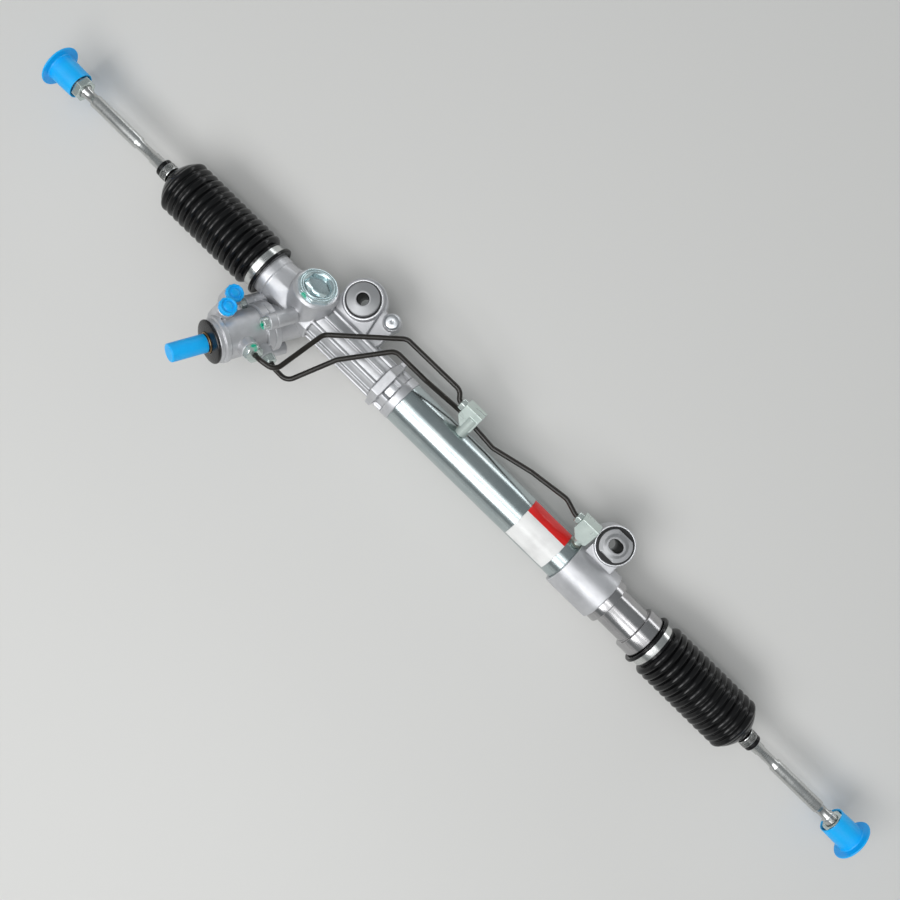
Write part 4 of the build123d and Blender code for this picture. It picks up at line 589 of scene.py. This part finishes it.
# Mounting bushes. A grey steel sleeve with a flange turns in a black rubber ring, which is pressed
# into the eye of the casting; the far one is flattened on two sides and slotted along the rack.
bore_shade, entry, leave = socketed(
    "bore_shade", {"Colour": (0.4, 0.4, 0.4, 1), "Centre": (0.0, 0.0, 0.0), "Radius": 0.008},
    {"Colour": "Color"})
place = node(bore_shade, "TexCoord").outputs["Object"]
from_centre = vectors(bore_shade, "SUBTRACT", place, entry.outputs["Centre"])
sideways = vectors(bore_shade, "MULTIPLY", from_centre, (1.0, 1.0, 0.0))
reach = vectors(bore_shade, "LENGTH", sideways, (0.0, 0.0, 0.0))
inside = maths(bore_shade, "LESS_THAN", reach, entry.outputs["Radius"])
tilt = node(bore_shade, "SeparateXYZ", {0: node(bore_shade, "NewGeometry").outputs["Normal"]}).outputs[2]
wall = maths(bore_shade, "MULTIPLY", inside, ramp(bore_shade, maths(bore_shade, "ABSOLUTE", tilt), 0.7, 0.4))
shaded = tinted(bore_shade, wall, entry.outputs["Colour"], (0.012, 0.012, 0.013, 1))
bore_shade.links.new(shaded, leave.inputs["Colour"])
bush_steel = metal("bush_steel", (0.36, 0.365, 0.375), (0.29, 0.295, 0.30), 0.45, clouding=0.4, smudges=0.1,
                   rub_amount=0.5, crease_shade=0.5, grain_scale=1800.0, sheen=0.7)
near_eye, far_eye = (0.0, 0.0, 0.0), (0.345, 0.0, 0.0)
tree = bush_steel.node_tree
bush_colour = tree.nodes["Principled BSDF"].inputs["Base Color"]
for centre in (near_eye, far_eye):
    lit = bush_colour.links[0].from_socket
    shade = group_node(tree, bore_shade, {"Colour": lit, "Centre": centre, "Radius": 0.0085})
    tree.links.new(shade.outputs["Colour"], bush_colour)
near_profile = [(-24.0, 6.15), (-24.0, 9.5), (19.0, 9.5), (19.0, 16.8), (21.6, 16.8), (22.2, 16.0),
                (23.4, 10.5), (24.0, 8.0), (24.0, 6.6), (23.5, 6.15), (-24.0, 6.15)]
near_sleeve = turned("flanged_sleeve", near_profile, near_eye, upright, steps=128, corner=0.35)
placed(near_sleeve, bush_steel, "bush_steel", "gear", "gear_mount_sleeve")


def slotted_at(along, radius, angle):
    """Radius of a disc with two flats and a slot: outside the lesser of the turned radius and the flat's
    distance; inside the slot's rim, two half circles r0 round points h to each side joined by straights."""
    half_run, rim, far_flat = 1.75, 5.75, 13.9
    across, lengthwise = np.abs(np.cos(angle)), np.abs(np.sin(angle))
    on_straight = lengthwise * rim <= half_run * across
    slot = np.where(on_straight, rim / np.maximum(across, 0.1),
                    half_run * lengthwise + np.sqrt(rim**2 - (half_run * across) ** 2))
    stretched = radius + (slot - rim) * np.clip((12.0 - radius) / 4.0, 0, 1)
    return np.where(radius > 12.5, np.minimum(radius, far_flat / across.clip(0.1)), stretched)


far_profile = [(-20.0, 5.75), (-20.0, 8.75), (24.0, 8.75), (24.0, 16.6), (26.8, 16.6), (27.0, 16.3),
               (27.2, 12.4), (28.9, 8.4), (29.0, 6.3), (28.5, 5.75), (-20.0, 5.75)]
far_sleeve = turned("slotted_sleeve", far_profile, far_eye, upright, slotted_at, 160, corner=0.3)
placed(far_sleeve, bush_steel, "bush_steel", "gear", "far_mount_sleeve")


def rubber(name, colour, dusty, roughness, bloom, grain):
    """Black rubber: a dark base, a pale bloom of dust in the hollows, and a fine moulded grain."""
    made, tree, shader = material(name)
    base = group_node(tree, skin, {"Colour": (*colour, 1), "Dark": (*(c * 0.5 for c in colour), 1),
                                   "Clouding": 0.6, "Cloud scale": 55.0, "Grain scale": 1300.0,
                                   "Roughness": roughness, "Smudges": 0.25})
    edges = group_node(tree, edges_and_creases, {"Colour": base.outputs["Colour"], "Bright": (*(c * 1.9 for c in colour), 1),
                                   "Hollow": (*dusty, 1), "Rub": 0.4, "Dust and shade": bloom})
    tree.links.new(edges.outputs["Colour"], shader.inputs["Base Color"])
    tree.links.new(base.outputs["Roughness"], shader.inputs["Roughness"])
    bumped(tree, shader, base.outputs["Height"], grain)
    return made


bush_rubber = rubber("bush_rubber", (0.018, 0.018, 0.019), (0.05, 0.05, 0.048), 0.62, 0.4, 0.00006)
rubber_ring = [(-22.0, 9.6), (-22.0, 17.2), (-18.2, 17.7), (18.2, 17.8), (18.9, 17.3), (18.9, 9.6),
               (-22.0, 9.6)]
near_rubber = turned("bush_ring", rubber_ring, near_eye, upright, steps=128, corner=0.5)
placed(near_rubber, bush_rubber, "bush_rubber", "gear", "gear_mount_rubber")
melted("slotted_ring", "far_mount_rubber", 0.00045, 2, bush_rubber, "bush_rubber")

# Pin in the lug: a round-headed steel dowel with a centre mark in its head
dowel_profile = [(-12.0, 0.0), (-12.0, 5.0), (12.0, 5.0), (12.0, 8.2), (13.6, 8.2), (15.0, 6.6), (15.4, 4.0),
                 (15.4, 1.6), (14.2, 0.5), (14.1, 0.0)]
dowel = turned("round_headed_dowel", dowel_profile, (0.035, 0.0043, 0.0), upright, steps=96, corner=0.8)
dowel_steel = metal("dowel_steel", (0.60, 0.62, 0.64), (0.42, 0.45, 0.48), 0.3, clouding=0.4, crease_shade=0.5)
placed(dowel, dowel_steel, "ground_steel", "gear", "lug_pin")


# Input shaft. The dust seal is a black rubber disc in a rolled rim on the mouth of the valve housing; a
# brass-coloured washer lies in it, and a blue plastic cap keeps the splines clean until the gear is fitted.
shaft_foot = np.array((-38.0, -53.6668, -13.8057)) * millimetre
disc_profile = [(98.0, 9.7), (98.0, 19.6), (101.4, 19.6), (101.6, 21.2), (102.4, 22.0), (103.6, 22.0),
                (104.6, 21.2), (105.2, 18.0), (105.8, 13.0), (106.0, 11.2), (105.2, 10.2), (103.6, 9.8),
                (98.0, 9.7)]
seal_rubber = rubber("seal_rubber", (0.006, 0.006, 0.0065), (0.012, 0.012, 0.012), 0.26, 0.2, 0.00001)
disc = turned("dust_disc", disc_profile, shaft_foot, shaft_line, steps=144, corner=0.5)
placed(disc, seal_rubber, "seal_rubber", "gear", "dust_seal")
rim_profile = [(96.6, 19.7), (96.6, 21.5), (97.6, 21.9), (100.6, 21.7), (101.3, 21.0), (101.3, 19.7),
               (96.6, 19.7)]
rolled_rim = turned("rolled_rim", rim_profile, shaft_foot, shaft_line, steps=144, corner=0.3)
placed(rolled_rim, cast_aluminium, "cast_aluminium", "gear")
washer_brass = metal("washer_brass", (0.36, 0.24, 0.13), (0.16, 0.10, 0.05), 0.36, clouding=0.8, smudges=0.3)
ring_profile = [(104.6, 8.9), (104.6, 9.9), (106.3, 10.6), (107.0, 10.2), (107.2, 9.4), (106.6, 8.9),
                (104.6, 8.9)]
shaft_ring = turned("shaft_ring", ring_profile, shaft_foot, shaft_line, steps=96, corner=0.3)
placed(shaft_ring, washer_brass, "seal_rubber", "gear")


def splined(along, radius, angle):
    """Turned radius, less a rounded groove between splines beyond the plain part:
    r - d ((1 + cos(n a)) / 2)^0.8, with the depth d and n splines."""
    splines, depth, plain_end = 36, 0.75, 110.0
    share = np.clip((along - plain_end) / 2.0, 0, 1) * np.clip((radius - 7.0) / 0.8, 0, 1)
    return radius - depth * share * (0.5 + 0.5 * np.cos(splines * angle)) ** 0.8


stub_profile = [(86.0, 0.0), (86.0, 8.4), (98.0, 8.4), (109.0, 8.4), (111.0, 8.4), (123.0, 8.4), (124.0, 7.2),
                (127.0, 7.2), (128.0, 8.4), (141.0, 8.4), (142.0, 7.4), (142.0, 0.0)]
stub = turned("splined_stub", stub_profile, shaft_foot, shaft_line, splined, 360, corner=0.4)
ground_steel = metal("ground_steel", (0.60, 0.60, 0.61), (0.45, 0.45, 0.46), 0.22, smudges=0.15, rub_amount=0.2,
                     crease_shade=0.2)
placed(stub, ground_steel, "ground_steel", "pinion")

# Bright blue moulded plastic of the caps and plugs: slight clouding, fine scuffs, a soft gloss and painted
# shade in the creases
blue_plastic, tree, shader = material("blue_plastic")
base = group_node(tree, skin, {"Colour": (0.0, 0.46, 1.0, 1), "Dark": (0.0, 0.39, 0.92, 1), "Clouding": 0.5,
                               "Cloud scale": 80.0, "Grain scale": 1200.0, "Roughness": 0.36, "Smudges": 0.25})
# Edges rubbed paler; creases painted deep blue as shade
edges = group_node(tree, edges_and_creases, {"Colour": base.outputs["Colour"], "Bright": (0.02, 0.56, 1.0, 1),
                               "Hollow": (0.0, 0.10, 0.42, 1), "Rub": 0.5, "Dust and shade": 0.35})
scuffs = noise(tree, node(tree, "TexCoord").outputs["Object"], 350.0, 6.0, distortion=2.5)
pale = tinted(tree, ramp(tree, scuffs, 0.64, 0.74), edges.outputs["Colour"], (0.04, 0.54, 0.98, 1))
tree.links.new(pale, shader.inputs["Base Color"])
tree.links.new(base.outputs["Roughness"], shader.inputs["Roughness"])
shader.inputs["Subsurface Weight"].default_value = 0.06
shader.inputs["Subsurface Radius"].default_value = (0.0006, 0.001, 0.002)
bumped(tree, shader, base.outputs["Height"], 0.00004)
sheath_profile = [(108.0, 8.55), (108.0, 9.25), (109.0, 9.35), (144.2, 9.25), (145.0, 8.4), (145.0, 0.0),
                  (143.9, 0.0), (143.9, 8.5), (108.0, 8.55)]
sheath = turned("shaft_sheath", sheath_profile, shaft_foot, shaft_line, steps=128, corner=0.5)
placed(sheath, blue_plastic, "blue_plastic", "shaft_cap", "input_shaft_cap")


# Port plugs: blue plastic plugs pushed in the two hose ports, with round heads, a groove inside the rim and
# a wavy grip edge.
def gripped(along, radius, angle):
    """Turned radius with shallow waves on the outside of the head: r - h (1 + cos(n a))."""
    waves, height, head_side = 12, 0.22, 8.3
    return radius - height * (1 + np.cos(waves * angle)) * np.clip((radius - head_side) / 0.5, 0, 1)


stopper_profile = [(-9.0, 0.0), (-9.0, 5.4), (-8.2, 5.9), (0.0, 5.9), (0.05, 8.9), (1.0, 9.2), (4.6, 9.2),
                   (5.8, 8.3), (6.0, 7.3), (5.6, 6.6), (4.4, 6.2), (4.4, 4.6), (5.2, 4.0), (5.6, 2.6),
                   (5.7, 0.0)]
port_line = (0.21885, 0.49255, 0.84232)
for name, face in (("pressure", (-90.407, -84.432, 34.422)), ("return", (-81.696, -97.336, 51.577))):
    origin = np.array(face) * millimetre
    stopper = turned(name + "_stopper", stopper_profile, origin, port_line, gripped, 144, corner=0.5)
    placed(stopper, blue_plastic, "blue_plastic", name + "_plug", name + "_port_plug")


# Boots. Each is a moulded black rubber bellows: a lipped cuff held on the housing by a crimped steel
# band, fourteen round folds, a dome, and a beaded small end held on the tie rod by a spring clip.
cuff_length, fold_pitch, valley_radius, fold_height, wall_radius = 14.7, 7.85, 26.6, 3.5, 22.9


def boot_line(first, last, per_fold=14):
    """Outer line of the folds between two distances from the cuff's mouth, in millimetres: radius = valley +
    height |sin(pi t)|^0.62, with t counted in folds, so that crests are full and valleys narrow."""
    along = np.linspace(first, last, int((last - first) / fold_pitch * per_fold) + 1)
    folds = (along - cuff_length) / fold_pitch
    return np.stack([along, valley_radius + fold_height * np.abs(np.sin(np.pi * folds)) ** 0.62], axis=1)


def banded(along, radius, angle):
    """Radius plus the height of the band's pinched ear underneath, h exp(-((a - a0) / w)^6), on the outer
    face only."""
    height, width, underneath, inner_side = 2.6, 0.075, np.radians(90.0), 25.0
    apart = np.angle(np.exp(1j * (angle - underneath)))
    ear = height * np.exp(-((apart / width) ** 6))
    return radius + np.where(radius > inner_side, ear, 0.0)


def slotted(along, radius, angle):
    """Radius less two rounded slots, one on each side of the spring clip."""
    middle, half_length, half_width, depth, inner_side = 142.3, 1.5, 0.35, 1.1, 9.0
    turns = [np.abs(np.angle(np.exp(1j * (angle - slot_angle)))) for slot_angle in (1.1, -2.0)]
    slot = np.exp(-((np.minimum(*turns) / half_width) ** 8)) * np.exp(-(((along - middle) / half_length) ** 8))
    return radius - np.where(radius > inner_side, depth * slot, 0.0)


boot_rubber = rubber("boot_rubber", (0.0045, 0.0045, 0.005), (0.012, 0.012, 0.013), 0.2, 0.3, 0.00001)
boot_shader = boot_rubber.node_tree.nodes["Principled BSDF"]
boot_shader.inputs["Specular IOR Level"].default_value = 0.32
band_steel = metal("band_steel", (0.66, 0.67, 0.66), (0.42, 0.44, 0.43), 0.2, clouding=0.4, smudges=0.25,
                   rub_amount=0.3, crease_shade=0.3, line_direction=along_rack, fineness=1800.0)
cuff = [(0.0, wall_radius), (0.0, 27.9), (0.6, 28.9), (3.0, 28.9), (3.6, 28.1), (3.8, 24.6), (4.4, 24.4),
        (14.2, 24.4)]
dome = [(126.6, 25.4), (129.6, 21.9), (132.6, 17.3), (135.4, 12.4), (137.0, 9.8), (138.6, 8.2), (146.2, 8.2),
        (146.6, 8.9), (147.2, 9.4), (150.2, 9.4), (151.1, 8.6), (151.1, 6.4), (138.0, 6.4)]
band_profile = [(4.2, 24.5), (4.2, 25.3), (11.5, 25.3), (11.5, 24.5), (4.2, 24.5)]
clip_profile = [(138.5, 8.3), (138.5, 9.6), (138.9, 9.8), (145.8, 9.8), (146.2, 9.6), (146.2, 8.3),
                (138.5, 8.3)]
soft_clip = eased(clip_profile, 0.2)
clip_line = np.vstack([soft_clip[:14], [(a, 9.8) for a in np.arange(139.4, 145.5, 0.35)], soft_clip[14:]])
for side, sign, mouth, ball in (("left", -1.0, -88.4, -198.0), ("right", 1.0, 435.4, 541.0)):
    outward, origin = (sign, 0.0, 0.0), np.array((mouth * millimetre, rack_y, 0.0))
    before_ball, past_ball, rod_hold = abs(ball - mouth) - 3.0, abs(ball - mouth) + 14.0, 138.0
    seat_body, rod_body = side + "_seat", side + "_tie_rod_end"

    # Cuff and folds up to the inner ball, then the folds beside it, and last the folds, dome, small end and
    # bead; each is closed by the wall's inner line
    cuff_line = np.vstack([cuff, boot_line(cuff_length, before_ball),
                           [(before_ball, wall_radius), (0.0, wall_radius)]])
    middle_line = np.vstack([[(before_ball, wall_radius)], boot_line(before_ball, past_ball),
                             [(past_ball, wall_radius), (before_ball, wall_radius)]])
    tail_line = np.vstack([[(past_ball, wall_radius)], boot_line(past_ball, 124.6), dome,
                           [(124.8, wall_radius), (past_ball, wall_radius)]])
    for name, line, corner, first, last, start, end in (
            ("_bellows", cuff_line, 0.15, "gear", "rack", 6.0, before_ball),
            ("_bellows_middle", middle_line, 0.0, "rack", seat_body, before_ball, past_ball),
            ("_bellows_tail", tail_line, 0.3, seat_body, rod_body, past_ball, rod_hold)):
        bellows = dressed(turned(side + name, line, origin, outward, steps=120, corner=corner), boot_rubber)
        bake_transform(bellows)
        if name == "_bellows":
            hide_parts(side + "_boot")

    # Steel band round the cuff, lapped, with a pinched ear, and the spring clip round the small end: a wide
    # ring with two dark slots
    band = turned(side + "_crimped_band", band_profile, origin, outward, banded, 360, corner=0.15)
    placed(band, band_steel, "clamp_steel", "gear", side + "_boot_clamp")
    clip = turned(side + "_spring_clip", clip_line, origin, outward, slotted, 160, corner=0.0)
    placed(clip, band_steel, "clamp_steel", rod_body, side + "_boot_clip")


# Tie rods. Each is a forged and turned steel rod with a ball at its inner end, a long hexagon for the
# spanner, and a rolled M14 thread with a jam nut under the blue cap.
rod_steel = metal("rod_steel", (0.62, 0.63, 0.62), (0.46, 0.46, 0.45), 0.23, clouding=0.4, smudges=0.25,
                  grain=0.000005, rub_amount=0.4, line_direction=along_rack, line_height=0.000004,
                  fineness=2600.0)
rod_hexagon = hexagon(12.0, 6, np.pi / 2)


def rod_radius_at(along, radius, angle):
    """Turned radius; between the collars the lesser of it and the hexagon; past the plain part a helical
    thread: r - h |2 frac(x / pitch - a / 2 pi) - 1| with the groove's depth h of 0.85 mm."""
    flats_start, flats_end, thread_start, pitch, depth = 77.2, 133.0, 148.5, 1.5, 0.85
    flats = np.clip(along - flats_start, 0, 1) * np.clip(flats_end - along, 0, 1)
    cut = np.minimum(radius, rod_hexagon(along, radius, angle))
    radius = radius * (1 - flats) + cut * flats
    phase = along / pitch - angle / (2 * np.pi)
    groove = np.abs(2 * (phase - np.floor(phase)) - 1)
    thread = np.clip((along - thread_start) / 1.5, 0, 1) * np.clip((radius - 4.0) / 2.0, 0, 1)
    return radius - depth * groove * thread


ball_arc = [(-12.5 * np.cos(a), 12.5 * np.sin(a)) for a in np.linspace(0.0, np.pi - 0.53, 30)]
shank = [(54.0, 6.3), (55.2, 5.4), (70.0, 5.4), (73.6, 5.5), (74.9, 6.9), (76.6, 6.9), (77.2, 6.93),
         (133.0, 6.93), (133.4, 6.9), (135.1, 6.9), (136.4, 5.5), (140.0, 5.4), (146.6, 5.4), (147.8, 6.9)]
thread_run = [(a, 6.9) for a in np.arange(148.4, 177.6, 0.15)]
rod_line = np.vstack([ball_arc, eased([(11.6, 6.3)] + shank[:1], 0.1), shank[1:], thread_run,
                      [(178.0, 6.9), (179.0, 6.0), (179.0, 0.0)]])
jam_section = [(0.0, 7.0), (0.0, 10.6), (0.9, 12.7), (6.9, 12.7), (8.0, 10.6), (8.0, 7.0), (0.0, 7.0)]
for side, sign, ball, nut_start, cap_mouth in (("left", -1.0, -198.0, 148.5, 156.2),
                                               ("right", 1.0, 541.0, 154.0, 153.9)):
    outward, origin = (sign, 0.0, 0.0), np.array((ball * millimetre, rack_y, 0.0))
    rod = turned(side + "_rod", rod_line, origin, outward, rod_radius_at, 96, corner=0.0)
    placed(rod, rod_steel, "ground_steel", side + "_tie_rod_end", side + "_tie_rod")
    jam_profile = [(nut_start + along, radius) for along, radius in jam_section]
    jam = turned(side + "_jam", jam_profile, origin, outward, hexagon(22.0), 96, corner=0.35)
    placed(jam, nut_zinc, "yellowish_zinc", side + "_tie_rod_end", side + "_jam_nut")
    # Blue cap: a thin cup over the thread with a wide, flat flange and a shallow dimple in it
    m, s = cap_mouth, cap_mouth + 28.2
    cap_profile = [(m, 13.0), (m, 14.1), (s - 1, 14.7), (s, 15.4), (s, 22.0), (s + 0.9, 22.4), (s + 1.8, 22.0),
                   (s + 1.8, 9.6), (s + 0.8, 8.6), (s + 0.8, 0.0), (s - 0.6, 0.0), (s - 0.6, 13.5), (m, 13.0)]

    def ribbed(along, radius, angle):
        """Radius with six faint outside ribs on the cup, h cos(3 a)^16, fading at both ends."""
        fading = np.clip((along - m) / 3, 0, 1) * np.clip((s - 2 - along) / 3, 0, 1)
        rise = 0.18 * np.cos(3 * angle) ** 16 * fading
        return radius + np.where((radius > 13.9) & (radius < 15.0), rise, 0.0)

    cap = turned(side + "_blue_cap", cap_profile, origin, outward, ribbed, 160, corner=0.6)
    placed(cap, blue_plastic, "blue_plastic", side + "_cap", side + "_rod_cap")


# Inside pieces. They keep their solids, in machined steel, sintered guide metal, rubber and plastic:
# rack, pinion, bearings, valve, piston, seals and ball joints.
guide_metal = metal("guide_metal", (0.52, 0.52, 0.51), (0.40, 0.40, 0.39), 0.4, clouding=0.4)
socket_steel = metal("socket_steel", (0.42, 0.42, 0.43), (0.28, 0.28, 0.29), 0.35, clouding=0.4,
                     line_direction=along_rack, fineness=2200.0)
ivory_plastic, tree, shader = material("ivory_plastic")
base = group_node(tree, skin, {"Colour": (0.80, 0.77, 0.68, 1), "Dark": (0.70, 0.66, 0.56, 1), "Clouding": 0.4,
                               "Roughness": 0.4, "Smudges": 0.15})
tree.links.new(base.outputs["Colour"], shader.inputs["Base Color"])
tree.links.new(base.outputs["Roughness"], shader.inputs["Roughness"])
bumped(tree, shader, base.outputs["Height"], 0.00003)
inside_finishes = {
    "ground_steel": ground_steel, "socket_steel": socket_steel, "yoke_metal": guide_metal,
    "clamp_steel": band_steel, "bearing_plastic": ivory_plastic, "seal_rubber": seal_rubber,
    "bush_rubber": bush_rubber,
    "cast_aluminium": cast_aluminium, "yellowish_zinc": pale_zinc, "blue_plastic": blue_plastic,
    "line_paint": line_paint, "black_rubber": boot_rubber, "bush_steel": bush_steel, "zinc_tube": bright_zinc,
    "turned_steel": turned_steel,
}
for entry_row in frame["record"]["subparts"]:
    solid = frame["nodes"][entry_row["node"]]
    for place_slot in solid.material_slots:
        place_slot.material = inside_finishes[entry_row["material_slot"]]


# Studio: a plain pale floor under the gear, a large soft lamp and a narrow one overhead, a key lamp and
# a low window beside it, and a pale skyline under a darker sky. The camera looks straight down, turned as
# in the picture.
floor_level, half_side = solid_box[0].z - 0.0005, 4.0
floor_mesh = bpy.data.meshes.new("studio_floor")
corners = [(x * half_side, y * half_side, floor_level) for x, y in ((-1, -1), (1, -1), (1, 1), (-1, 1))]
floor_mesh.from_pydata(corners, [], [(0, 1, 2, 3)])
floor = linked("studio_floor", floor_mesh)
floor_finish, tree, shader = material("floor_finish")
shader.inputs["Base Color"].default_value = (0.68, 0.675, 0.66, 1)
shader.inputs["Roughness"].default_value = 0.9
dressed(floor, floor_finish)


def lamp(name, place, target, width, depth, power, tone=(1.0, 1.0, 1.0)):
    """Rectangular soft lamp at a place, facing a target."""
    data = bpy.data.lights.new(name, "AREA")
    data.shape, data.size, data.size_y, data.energy, data.color = "RECTANGLE", width, depth, power, tone
    made = linked(name, data)
    made.location = place
    made.rotation_euler = (Vector(target) - Vector(place)).to_track_quat("-Z", "Y").to_euler()


gear_middle = (0.17, -0.05, 0.0)
lamp("overhead", (0.10, -0.62, 2.2), gear_middle, 2.6, 1.9, 17.0)
lamp("key", (0.05, -1.35, 1.80), gear_middle, 1.7, 0.85, 20.0)
lamp("centre_strip", (0.17, -0.30, 2.1), gear_middle, 1.6, 0.14, 3.5)
lamp("window_side", (0.10, 2.4, 0.42), gear_middle, 3.0, 0.45, 10.0, (0.96, 0.98, 1.0))
sky = bpy.data.worlds.new("studio_sky")
sky.use_nodes = True
bpy.context.scene.world = sky
tree = sky.node_tree
direction = node(tree, "TexCoord").outputs["Generated"]
rise = node(tree, "SeparateXYZ", {0: direction}).outputs[2]
upper = tinted(tree, ramp(tree, rise, -0.1, 0.85), (0.16, 0.18, 0.175, 1), (0.42, 0.44, 0.45, 1))
tone = tinted(tree, ramp(tree, rise, 0.32, 0.16), upper, (0.80, 0.80, 0.79, 1))
tree.links.new(tone, tree.nodes["Background"].inputs["Color"])
tree.nodes["Background"].inputs["Strength"].default_value = 0.75

camera_data = bpy.data.cameras.new("camera")
camera_data.sensor_width, camera_data.lens = 36.0, 40.0
camera = linked("camera", camera_data)
camera.location = (0.164, -0.046, 1.0)
camera.rotation_euler = (0.0, 0.0, np.radians(44.35))
bpy.context.scene.camera = camera
bpy.context.scene.view_settings.view_transform = "Standard"
